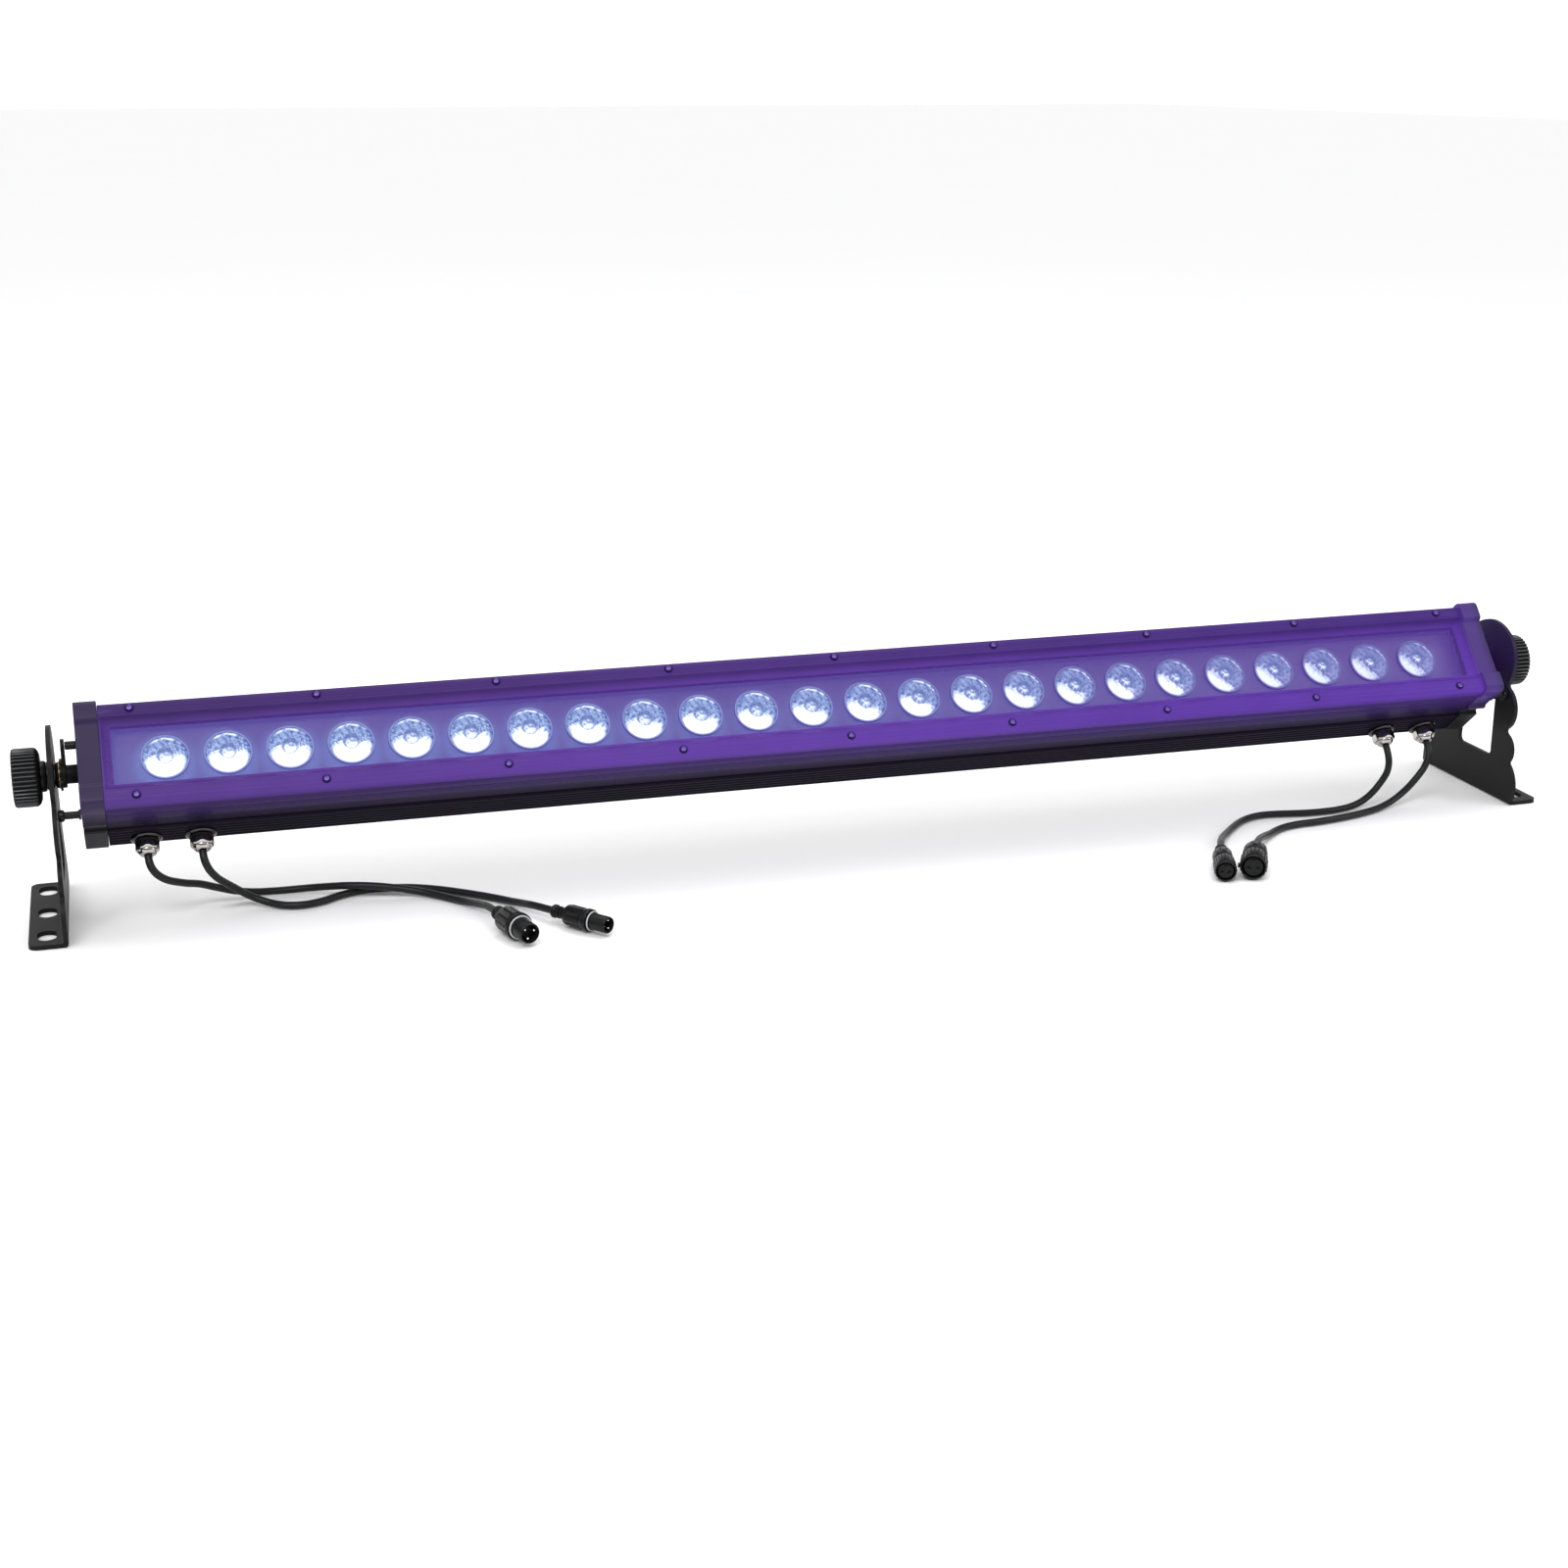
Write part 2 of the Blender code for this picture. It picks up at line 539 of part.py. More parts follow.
def bracket_outline():
    """The upright plate as (y, z): a scalloped front edge, a round head and a sloped back."""
    points = [(-60.5, 0.0), (-61.2, 4.0)]
    points += arc_through(points[-1], (-62.9, 17.0), (-54.3, 31.2), 5)
    points += arc_through(points[-1], (-56.6, 44.2), (-47.2, 54.6), 5)
    points += arc_through(points[-1], (-56.4, 74.0), (-44.6, 90.2), 6)
    points += arc_through(points[-1], (-50.4, 108.0), (-43.6, 126.2), 5)
    points += arc_through(points[-1], (-20.0, 136.2), (6.0, 127.4), 7)
    points += arc_through(points[-1], (18.0, 114.0), (24.5, 96.0), 4)
    points += arc_through(points[-1], (37.0, 53.0), (60.8, 17.0), 4)
    points += [(62.9, 11.0), (62.9, 0.0)]
    return points


def bracket_window():
    return rounded([(-29.9, 31.6), (15.0, 31.6), (14.2, 46.0), (-18.5, 79.5), (-29.6, 80.5)], 4.2)


def make_bracket(mats, name, side):
    """A plate with a foot bent outwards along its lower edge."""
    pivot = Vector((0, PIVOT_Y, PIVOT_Z))
    low, high = sorted((side * BRACKET_INNER_X, side * (BRACKET_INNER_X + PLATE_THICKNESS)))
    outline = [(y - PIVOT_Y, z - PIVOT_Z) for y, z in bracket_outline()]
    bend = 2.2
    bend_floor = -PIVOT_Z + bend
    outline = [(y, max(z, bend_floor)) for y, z in outline]
    bracket = new_object(f"{name}_bracket", prism_mesh("plate", outline, low, high), mats["powder"], None)
    bracket.location = pivot * MM
    bm = bmesh.new()
    foot = [(BRACKET_INNER_X, bend + 1.0), (BRACKET_INNER_X, bend)]
    foot += arc_through(foot[-1], (BRACKET_INNER_X + 0.65, 0.65), (BRACKET_INNER_X + bend, 0.0), 3)
    foot += [(FOOT_OUT_X, 0.0), (FOOT_OUT_X, PLATE_THICKNESS)]
    foot += [(BRACKET_INNER_X + PLATE_THICKNESS + 1.0, PLATE_THICKNESS)]
    foot += [(BRACKET_INNER_X + PLATE_THICKNESS, PLATE_THICKNESS + 1.0)]
    front, back = -60.5 - PIVOT_Y, 62.9 - PIVOT_Y
    corners = [Vector((side * x, front, z - PIVOT_Z)) * MM for x, z in foot]
    face = bm.faces.new([bm.verts.new(corner) for corner in corners])
    pushed = bmesh.ops.extrude_face_region(bm, geom=[face])
    moved = [v for v in pushed["geom"] if isinstance(v, bmesh.types.BMVert)]
    bmesh.ops.translate(bm, verts=moved, vec=Vector((0, back - front, 0)) * MM)
    add_tool(bracket, bm, "UNION")
    bm = bmesh.new()
    lathe(bm, rod(STUD_HOLE_RADIUS, BRACKET_INNER_X - 5, BRACKET_INNER_X + 10), 20, along_x(side))
    window = [(y - PIVOT_Y, z - PIVOT_Z) for y, z in bracket_window()]
    corners = [Vector((low - 5, y, z)) * MM for y, z in window]
    pushed = bmesh.ops.extrude_face_region(bm, geom=[bm.faces.new([bm.verts.new(c) for c in corners])])
    moved = [v for v in pushed["geom"] if isinstance(v, bmesh.types.BMVert)]
    bmesh.ops.translate(bm, verts=moved, vec=Vector((high - low + 10, 0, 0)) * MM)
    for slot_y in FOOT_SLOT_YS:
        add_slot(bm, side * FOOT_SLOT_X, slot_y - PIVOT_Y, -PIVOT_Z - 3, -PIVOT_Z + 8)
    add_tool(bracket, bm, "DIFFERENCE")


def add_slot(bm, x, y, low, high):
    """An upright round-ended slot, longer from front to back."""
    steps = 4
    spots = []
    for end, first in ((1, 0.0), (-1, math.pi)):
        for step in range(steps + 1):
            angle = first + math.pi * step / steps
            spot_y = y + end * FOOT_SLOT_RUN / 2 + FOOT_SLOT_RADIUS * math.sin(angle)
            spots.append((x + FOOT_SLOT_RADIUS * math.cos(angle), spot_y))
    face = bm.faces.new([bm.verts.new(Vector((sx, sy, low)) * MM) for sx, sy in spots])
    pushed = bmesh.ops.extrude_face_region(bm, geom=[face])
    moved = [v for v in pushed["geom"] if isinstance(v, bmesh.types.BMVert)]
    bmesh.ops.translate(bm, verts=moved, vec=Vector((0, 0, high - low)) * MM)


def make_washer(mats, name, side):
    profile = [(STUD_HOLE_RADIUS, WASHER_X[0]), (WASHER_RADIUS, WASHER_X[0])]
    profile += [(WASHER_RADIUS, WASHER_X[1]), (STUD_HOLE_RADIUS, WASHER_X[1])]
    mesh = lathe_mesh("washer", profile, 16, along_x(side))
    washer = new_object(f"{name}_knob_washer", mesh, mats["steel"], None)
    washer.location = Vector((0, PIVOT_Y, PIVOT_Z)) * MM


def make_knob(mats, name, side):
    """A ribbed hand knob with its threaded stud moulded in."""
    bm = bmesh.new()
    inner, outer = KNOB_X
    around = []
    for rib in range(KNOB_RIBS):
        around += [(rib, KNOB_RADIUS), (rib + 0.5, KNOB_RADIUS - KNOB_RIB_DEPTH)]
    rings = []
    for x, shrink in ((inner, 3.0), (inner + 2.4, 0.0), (outer - 1.4, 0.0), (outer, 1.4)):
        ring = []
        for spot, full_radius in around:
            angle = math.tau * spot / KNOB_RIBS
            radius = full_radius - shrink
            spot = Vector((side * x, radius * math.cos(angle), radius * math.sin(angle)))
            ring.append(bm.verts.new(spot * MM))
        rings.append(ring)
    count = len(around)
    for near, far in zip(rings, rings[1:]):
        for index in range(count):
            following = (index + 1) % count
            bm.faces.new([near[index], near[following], far[following], far[index]])
    bm.faces.new(rings[0])
    bm.faces.new(rings[-1])
    knob = new_object(f"{name}_knob", mesh_from(bm, "knob"), mats["plastic"], None)
    knob.location = Vector((0, PIVOT_Y, PIVOT_Z)) * MM
    bm = bmesh.new()
    boss_start = WASHER_X[1] + GAP
    profile = [(0.0, BAR_HALF + 6.0), (STUD_RADIUS - 0.6, BAR_HALF + 6.0), (STUD_RADIUS, BAR_HALF + 7.0)]
    profile += [(STUD_RADIUS, boss_start), (KNOB_BOSS_RADIUS - 1.0, boss_start)]
    profile += [(KNOB_BOSS_RADIUS, boss_start + 1.0), (KNOB_BOSS_RADIUS, inner + 1.0), (0.0, inner + 1.0)]
    lathe(bm, profile, 16, along_x(side))
    add_tool(knob, bm, "UNION")
    bm = bmesh.new()
    lathe(bm, rod(KNOB_RADIUS - 5.5, outer - 1.2, outer + 3), 16, along_x(side))
    add_tool(knob, bm, "DIFFERENCE")


# Glands, leads and connectors


def make_gland(mats, head, lead, x):
    """A flanged body through the underside wall, and the six-sided domed nut that grips the lead."""
    down = Matrix.Translation(Vector((x, 0, GLAND_Z)) * MM) @ Matrix.Rotation(math.radians(90), 4, "X")
    seat = SIDE_Y + GAP
    bore = CABLE_RADIUS + GAP
    profile = [(bore, 26.0), (6.0, 26.0), (6.0, seat), (9.7, seat), (9.7, seat + 1.6), (9.0, seat + 2.2)]
    profile += [(6.4, seat + 2.2), (6.4, seat + 3.4), (bore, seat + 3.4)]
    new_object(f"{lead}_gland_body", lathe_mesh("gland_body", profile, 14, down), mats["nickel"], head)
    tip = -GLAND_TIP_Y
    bm = bmesh.new()
    hexagon = [(bore, seat + 3.7), (8.3, seat + 3.7), (8.3, seat + 8.0), (7.2, seat + 9.4),
               (bore, seat + 9.4)]
    lathe(bm, hexagon, 6, down, turn=math.radians(30))
    nut = new_object(f"{lead}_gland_nut", mesh_from(bm, "gland_nut"), mats["nickel"], head)
    bm = bmesh.new()
    dome = [(bore, seat + 6.0), (6.2, seat + 6.0), (6.2, seat + 10.2), (5.4, tip - 1.2), (4.4, tip),
            (bore, tip)]
    lathe(bm, dome, 12, down)
    add_tool(nut, bm, "UNION")


def smooth_route(points, spacing):
    """Even steps along the smooth curve that passes through every route point."""
    spots = [Vector(p) for p in points]
    spots = [spots[0] * 2 - spots[1]] + spots + [spots[-1] * 2 - spots[-2]]
    fine = []
    for index in range(1, len(spots) - 2):
        a, b, c, d = spots[index - 1:index + 3]
        for step in range(24):
            t = step / 24
            fine.append(0.5 * (2 * b + (c - a) * t + (2 * a - 5 * b + 4 * c - d) * t * t
                               + (3 * b - a - 3 * c + d) * t * t * t))
    fine.append(spots[-2])
    lengths = [0.0]
    for before, after in zip(fine, fine[1:]):
        lengths.append(lengths[-1] + (after - before).length)
    count = max(2, round(lengths[-1] / spacing))
    even = []
    index = 0
    for step in range(count + 1):
        wanted = lengths[-1] * step / count
        while index < len(fine) - 2 and lengths[index + 1] < wanted:
            index += 1
        share = (wanted - lengths[index]) / (lengths[index + 1] - lengths[index])
        even.append(fine[index].lerp(fine[index + 1], share))
    return even


def make_lead(mats, lead):
    """A lead lies on the floor, from the mouth of its gland to the back of its connector."""
    route = [Vector(p) for p in ROUTES[lead]]
    inlet = (route[0] - route[1]).normalized()
    outlet = (route[-1] - route[-2]).normalized()
    route[0] -= inlet * GAP
    route[-1] -= outlet * GAP
    curve = bpy.data.curves.new(f"{lead}_cable", "CURVE")
    curve.dimensions = "3D"
    curve.bevel_depth = CABLE_RADIUS * MM
    curve.bevel_resolution = 2
    curve.use_fill_caps = True
    curve.render_resolution_u = 0
    spots = smooth_route(route, CABLE_RADIUS * 5)
    spline = curve.splines.new("POLY")
    spline.points.add(len(spots) - 1)
    for point, spot in zip(spline.points, spots):
        point.co = (*(spot * MM), 1.0)
    obj = bpy.data.objects.new(f"{lead}_cable", curve)
    bpy.context.scene.collection.objects.link(obj)
    curve.materials.append(mats["rubber"])


def connector_frame(lead):
    """+Z runs from the lead into the connector, level with the floor."""
    forward = Vector((*CONNECTOR_HEADINGS[lead], 0.0)).normalized()
    turn = forward.to_track_quat("Z", "Y").to_matrix().to_4x4()
    return Matrix.Translation(Vector(ROUTES[lead][-1]) * MM) @ turn


def contact_spots(scale):
    """The three contacts stand on a circle, one at the top."""
    ring = 3.3 * scale
    angles = [math.radians(90 + 120 * index) for index in range(3)]
    return [(ring * math.cos(angle), ring * math.sin(angle)) for angle in angles]


def tail_profile(scale):
    """The ribbed strain relief and the grip, from the lead's side to the grip's shoulder."""
    profile = [(0.0, 0.0), (3.7, 0.0)]
    for rib in range(4):
        start = 1.0 + 3.2 * rib
        swell = 4.1 + 0.4 * rib
        profile += [(swell, start), (swell, start + 1.9), (swell - 0.6, start + 2.4)]
    profile += [(6.4 * scale, 14.2), (7.2 * scale, 15.4), (7.2 * scale, 28.6)]
    return profile


def make_plug(mats, lead, scale):
    """A moulded plug: a barrel round three pins, with a sealing ring behind the barrel's mouth."""
    barrel = 6.9 * scale
    profile = tail_profile(scale) + [(9.3 * scale, 29.4), (9.3 * scale, 33.0), (barrel, 33.0)]
    profile += [(barrel, CONNECTOR_LENGTH - 0.8), (barrel - 0.6, CONNECTOR_LENGTH)]
    profile += [(barrel - 1.3, CONNECTOR_LENGTH), (barrel - 1.3, 38.5), (0.0, 38.5)]
    plug = new_object(f"{lead}_plug_body", lathe_mesh("plug", profile, 14), mats["plastic"], None)
    plug.matrix_world = connector_frame(lead)
    bm = bmesh.new()
    for x, y in contact_spots(scale):
        pin = [(0.0, 38.0), (1.1, 38.0), (1.1, 45.6), (0.6, 46.6), (0.0, 46.6)]
        lathe(bm, pin, 6, Matrix.Translation(Vector((x, y, 0)) * MM))
    add_tool(plug, bm, "UNION")
    thickness = 0.85 * scale
    centre = barrel + GAP + thickness
    corners = [math.tau * step / 6 for step in range(6)]
    ring = [(centre + thickness * math.cos(a), 34.3 + thickness * math.sin(a)) for a in corners]
    seal = new_object(f"{lead}_plug_seal", lathe_mesh("seal", ring, 18), mats["white_rubber"], None)
    seal.matrix_world = connector_frame(lead)


def make_socket(mats, lead, scale):
    """A moulded socket: a nose with three sockets inside a ribbed locking ring that spins on it."""
    nose = 5.2 * scale
    neck = 6.3 * scale
    profile = tail_profile(scale)
    profile += [(neck, 28.9), (neck, 34.6), (nose, 35.2), (nose, CONNECTOR_LENGTH - 1.6)]
    profile += [(nose - 0.4, CONNECTOR_LENGTH - 1.2), (0.0, CONNECTOR_LENGTH - 1.2)]
    socket = new_object(f"{lead}_socket_body", lathe_mesh("socket", profile, 14), mats["plastic"], None)
    socket.matrix_world = connector_frame(lead)
    bm = bmesh.new()
    for x, y in contact_spots(scale):
        spot = Matrix.Translation(Vector((x, y, 0)) * MM)
        lathe(bm, rod(1.2 * scale, CONNECTOR_LENGTH - 10, CONNECTOR_LENGTH + 1), 6, spot)
    add_tool(socket, bm, "DIFFERENCE")
    outer = 9.6 * scale
    bore = outer - 1.9 * scale
    ring = [(neck + GAP, 29.2), (outer - 0.6, 29.2), (outer, 30.0), (outer, CONNECTOR_LENGTH - 0.8)]
    ring += [(outer - 0.6, CONNECTOR_LENGTH), (bore, CONNECTOR_LENGTH), (bore, 34.4), (neck + GAP, 33.8)]
    nut = new_object(f"{lead}_locking_ring", lathe_mesh("locking_ring", ring, 18), mats["plastic"], None)
    nut.matrix_world = connector_frame(lead)


def build():
    clear_scene()
    mats = make_materials()
    head = bpy.data.objects.new("head_frame", None)
    bpy.context.scene.collection.objects.link(head)
    head.location = Vector((0, PIVOT_Y, PIVOT_Z)) * MM
    head.rotation_euler = (math.radians(90 - FACE_ELEVATION), 0, 0)
    make_housing(mats, head)
    make_bezel(mats, head)
    make_bezel_screws(mats, head)
    make_window(mats, head)
    make_led_board(mats, head)
    make_lens_array(mats, head)
    make_electronics(mats, head)
    for name, side in (("left", -1), ("right", 1)):
        make_end_cap(mats, head, name, side)
        make_pivot_fittings(mats, head, name, side)
        make_bracket(mats, name, side)
        make_washer(mats, name, side)
        make_knob(mats, name, side)
    for lead, x in GLAND_XS.items():
        make_gland(mats, head, lead, x)
        make_lead(mats, lead)
    make_plug(mats, "power_in", POWER_SIZE)
    make_plug(mats, "data_in", DATA_SIZE)
    make_socket(mats, "data_out", DATA_SIZE)
    make_socket(mats, "power_out", POWER_SIZE)


build()
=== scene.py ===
"""LED strip batten: the visible model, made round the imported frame.

The light head is drawn in its own axes: x along the bar, y across the window, z out of the window, zero on
the pivot axis. HEAD places it in the frame. Lengths are in millimetres, and MM turns them into metres where
a mesh is made.
"""

import json
import math

import bmesh
import bpy
from mathutils import Matrix, Vector


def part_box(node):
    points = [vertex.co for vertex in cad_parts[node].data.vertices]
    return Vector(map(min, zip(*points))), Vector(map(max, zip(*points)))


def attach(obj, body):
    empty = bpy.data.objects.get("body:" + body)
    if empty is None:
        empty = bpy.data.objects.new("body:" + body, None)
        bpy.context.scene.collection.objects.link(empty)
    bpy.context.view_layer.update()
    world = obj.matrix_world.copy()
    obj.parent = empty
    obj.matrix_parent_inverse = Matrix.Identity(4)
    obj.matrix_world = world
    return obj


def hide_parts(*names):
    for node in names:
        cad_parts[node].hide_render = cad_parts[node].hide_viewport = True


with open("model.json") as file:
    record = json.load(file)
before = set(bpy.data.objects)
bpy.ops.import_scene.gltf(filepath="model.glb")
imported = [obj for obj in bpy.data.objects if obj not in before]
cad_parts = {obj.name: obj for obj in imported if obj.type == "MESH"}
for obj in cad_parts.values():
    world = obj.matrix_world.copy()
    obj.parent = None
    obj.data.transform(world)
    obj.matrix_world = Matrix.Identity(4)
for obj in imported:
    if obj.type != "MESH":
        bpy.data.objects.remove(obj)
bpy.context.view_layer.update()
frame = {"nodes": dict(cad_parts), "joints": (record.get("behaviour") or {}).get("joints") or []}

MM = 0.001
SHARP = 38.0
UPRIGHT = Matrix.Identity(4)
# Carries an outline's (x, y) onto the (y, z) of a section and its height onto the length of the bar
END_ON = Matrix(((0, 0, 1, 0), (1, 0, 0, 0), (0, 1, 0, 0), (0, 0, 0, 1)))

joints = {joint["name"]: joint for joint in frame["joints"]}
tilt = joints["left_bracket_tilt"]
PIVOT = Vector((0.0, tilt["pos_m"][1], tilt["pos_m"][2]))
FACE_ELEVATION = -tilt["range_deg"][0]
HEAD = Matrix.Translation(PIVOT) @ Matrix.Rotation(math.radians(90 - FACE_ELEVATION), 4, "X")


def extent(node, place):
    """A CAD node's lowest and highest corner in the axes of place, in millimetres."""
    inward = place.inverted()
    spots = [inward @ vertex.co for vertex in frame["nodes"][node].data.vertices]
    low = Vector([min(spot[axis] for spot in spots) for axis in range(3)])
    high = Vector([max(spot[axis] for spot in spots) for axis in range(3)])
    return low / MM, high / MM


HOUSING = extent("housing_extrusion", HEAD)
BEZEL = extent("bezel_frame", HEAD)
GLASS = extent("window_glass", HEAD)
LENSES = extent("lens_array", HEAD)
CAP = extent("right_end_cap", HEAD)
BAR_HALF = HOUSING[1].x
SIDE_Y = HOUSING[1].y
BACK_Z = HOUSING[0].z
FACE_Z = BEZEL[1].z
LENS_COUNT = 24
LENS_PITCH = BAR_HALF * 2 / 25
LENS_RADIUS = 15.7
GAP = 0.3

# The camera: a 53 mm lens at the height of a table, level with the left half of the bar
CAMERA_PLACE = (-0.4775, -1.5202, 0.5437)
CAMERA_LENS = 52.9
CAMERA_YAW = 16.33
CAMERA_PITCH = 17.36

# The brackets and knobs, along the bar and across it
STUD_HOLE = 4.3
DISC_BORE = 8.75
FOOT_FRONT, FOOT_BACK = -60.5, 62.9
SLOT_X = 543.6
SLOT_MIDDLES = (-42.6, 1.5, 46.0)
THREAD_START, THREAD_END = 506.4, 531.8
THREAD_PITCH = 1.25

# The leads. Each route runs from the gland's mouth to the back of its connector
CABLE_RADIUS = 2.6
CONNECTOR_LENGTH = 48.0
GRIP_RADIUS = 8.5
LUG_TURN = Matrix.Rotation(math.radians(180), 4, "Z")
CONNECTOR_SIZES = {"power_in": 1.0, "data_in": 0.82, "data_out": 0.82, "power_out": 1.0}
# How far each plug's three pins are turned about its axis, in degrees
PIN_TURNS = {"power_in": 16, "data_in": 60}
ROUTES = {
    "power_in": [
        (-476.0, -24.8, 45.2), (-475.7, -27.2, 42.0), (-474.5, -29.1, 38.2), (-471.8, -29.7, 34.0),
        (-468.0, -28.5, 30.3), (-463.5, -26.0, 27.1), (-453.8, -19.1, 22.1), (-443.9, -11.8, 17.9),
        (-433.2, -6.7, 12.6), (-421.2, -4.6, 8.2), (-408.6, -2.8, 5.5), (-395.7, -1.4, 4.3),
        (-382.8, -1.9, 4.3), (-370.2, -5.1, 5.4), (-358.6, -10.7, 7.1), (-346.9, -16.1, 8.4),
        (-334.6, -20.3, 8.5), (-322.1, -23.6, 7.5), (-309.5, -26.5, 5.6), (-297.6, -31.1, 3.8),
        (-287.2, -38.8, 2.9), (-278.5, -48.5, 2.9), (-271.2, -59.1, 3.8), (-265.7, -70.7, 5.9),
        (-261.8, -82.9, 8.2), (-258.4, -98.7, 9.5),
    ],
    "data_in": [
        (-441.0, -24.8, 45.2), (-440.8, -27.2, 42.0), (-439.8, -29.0, 38.0), (-437.9, -29.5, 33.5),
        (-435.0, -28.4, 29.0), (-431.5, -26.1, 24.7), (-423.0, -20.5, 16.6), (-413.1, -17.8, 8.8),
        (-401.7, -21.3, 4.1), (-390.6, -27.9, 2.9), (-378.2, -30.7, 2.9), (-365.7, -27.2, 2.9),
        (-354.8, -20.2, 2.9), (-343.0, -14.8, 2.9), (-330.3, -12.6, 2.9), (-317.3, -13.5, 2.9),
        (-304.8, -16.8, 2.9), (-293.0, -22.3, 2.9), (-282.0, -29.2, 2.9), (-271.6, -37.1, 2.9),
        (-261.6, -45.4, 2.9), (-252.0, -54.1, 2.9), (-244.0, -64.3, 3.6), (-237.4, -75.3, 5.2),
        (-231.6, -86.8, 7.1), (-221.5, -102.3, 8.0),
    ],
    "data_out": [
        (441.0, -24.8, 45.2), (441.0, -27.3, 42.1), (441.0, -29.6, 38.2), (440.9, -31.2, 33.5),
        (440.2, -31.6, 28.1), (438.2, -31.2, 22.5), (430.2, -31.5, 12.4), (419.3, -34.5, 6.2),
        (407.1, -38.2, 3.6), (394.4, -40.6, 2.9), (381.4, -41.8, 2.9), (368.4, -41.5, 2.9),
        (355.6, -39.4, 2.9), (342.8, -37.1, 2.9), (329.9, -37.0, 2.9), (317.7, -41.3, 2.9),
        (307.0, -48.7, 2.9), (297.6, -57.7, 3.0), (288.7, -67.2, 3.3), (280.5, -77.2, 4.4),
        (273.3, -87.8, 5.9), (267.0, -99.1, 7.5), (259.9, -113.5, 8.0),
    ],
    "power_out": [
        (476.0, -24.8, 45.2), (475.9, -27.3, 42.1), (475.6, -29.6, 38.2), (474.4, -31.3, 33.7),
        (472.1, -32.1, 28.8), (468.7, -32.6, 23.9), (459.7, -33.6, 14.6), (448.9, -36.7, 8.2),
        (437.4, -41.5, 4.7), (425.5, -46.7, 3.2), (413.4, -51.4, 2.9), (401.1, -55.4, 2.9),
        (388.5, -58.6, 2.9), (375.7, -61.0, 2.9), (362.8, -62.7, 2.9), (349.8, -63.7, 2.9),
        (337.2, -66.6, 2.9), (325.7, -72.6, 3.0), (315.8, -80.9, 3.8), (306.4, -89.7, 5.7),
        (298.1, -99.4, 7.9), (290.6, -109.9, 9.6), (285.1, -118.4, 9.8),
    ],
}
CONNECTOR_HEADINGS = {
    "power_in": (13.8, -45.4),
    "data_in": (31.4, -40.0),
    "data_out": (-17.7, -43.0),
    "power_out": (-24.1, -42.4),
}


# Node helpers


def new_material(name, **sockets):
    """A Principled material. Sockets that are the same all over are set here."""
    material = bpy.data.materials.new(name)
    material.use_nodes = True
    shader = material.node_tree.nodes["Principled BSDF"]
    for socket, value in sockets.items():
        name = socket.replace("_", " ").title().replace("Ior", "IOR")
        shader.inputs[name].default_value = (*value, 1.0) if isinstance(value, tuple) else value
    return material, material.node_tree, shader


def node(tree, kind, inputs, output=0, **settings):
    made = tree.nodes.new("ShaderNode" + kind)
    for key, value in settings.items():
        setattr(made, key, value)
    for key, value in inputs.items():
        if isinstance(value, bpy.types.NodeSocket):
            tree.links.new(value, made.inputs[key])
        else:
            made.inputs[key].default_value = value
    return made.outputs[output]


def calc(tree, operation, a, b=0.0, c=0.0):
    return node(tree, "Math", {0: a, 1: b, 2: c}, operation=operation)


def fade(tree, value, start, end, low=0.0, high=1.0):
    """Smoothly from low at start to high at end."""
    inputs = {"Value": value, "From Min": start, "From Max": end, "To Min": low, "To Max": high}
    return node(tree, "MapRange", inputs, interpolation_type="SMOOTHSTEP")


def blend_color(tree, share, first, second, mode="MIX"):
    sides = [(*side, 1.0) if isinstance(side, tuple) else side for side in (first, second)]
    inputs = {"Fac": share, "Color1": sides[0], "Color2": sides[1]}
    return node(tree, "MixRGB", inputs, blend_type=mode)


def local_axes(tree):
    """The piece's own x, y and z, in metres, and the vector they come from."""
    vector = node(tree, "TexCoord", {}, output="Object")
    return *split_up(tree, vector), vector


def stretched(tree, vector, scale):
    return node(tree, "Mapping", {"Vector": vector, "Scale": scale})


def grain(tree, vector, scale, detail=3.0, roughness=0.55):
    inputs = {"Vector": vector, "Scale": scale, "Detail": detail, "Roughness": roughness}
    return node(tree, "TexNoise", inputs)


def times(tree, a, b):
    return calc(tree, "MULTIPLY", a, b)


def squared(tree, value):
    return calc(tree, "POWER", calc(tree, "ABSOLUTE", value), 2.0)


def split_up(tree, vector):
    """The three numbers of a vector."""
    split = tree.nodes.new("ShaderNodeSeparateXYZ")
    tree.links.new(vector, split.inputs[0])
    return tuple(split.outputs)


def length_of(tree, vector):
    return node(tree, "VectorMath", {0: vector}, output="Value", operation="LENGTH")


def feed(shader, socket, value):
    shader.id_data.links.new(value, shader.inputs[socket])


def glow_with(shader, color, strength):
    feed(shader, "Emission Color", color)
    feed(shader, "Emission Strength", strength)


def bump(tree, height, strength, distance):
    return node(tree, "Bump", {"Height": height, "Strength": strength, "Distance": distance * MM})


# Materials


def spill_over(tree, x, strength):
    """The violet light that the row of lenses throws over the head. It grows towards the socket end."""
    along = fade(tree, x, -0.55, 0.5)
    color = blend_color(tree, along, (0.115, 0.042, 0.33), (0.092, 0.027, 0.33))
    growth = fade(tree, x, -0.55, 0.0, 0.68, 1.0)
    return color, times(tree, strength, growth)


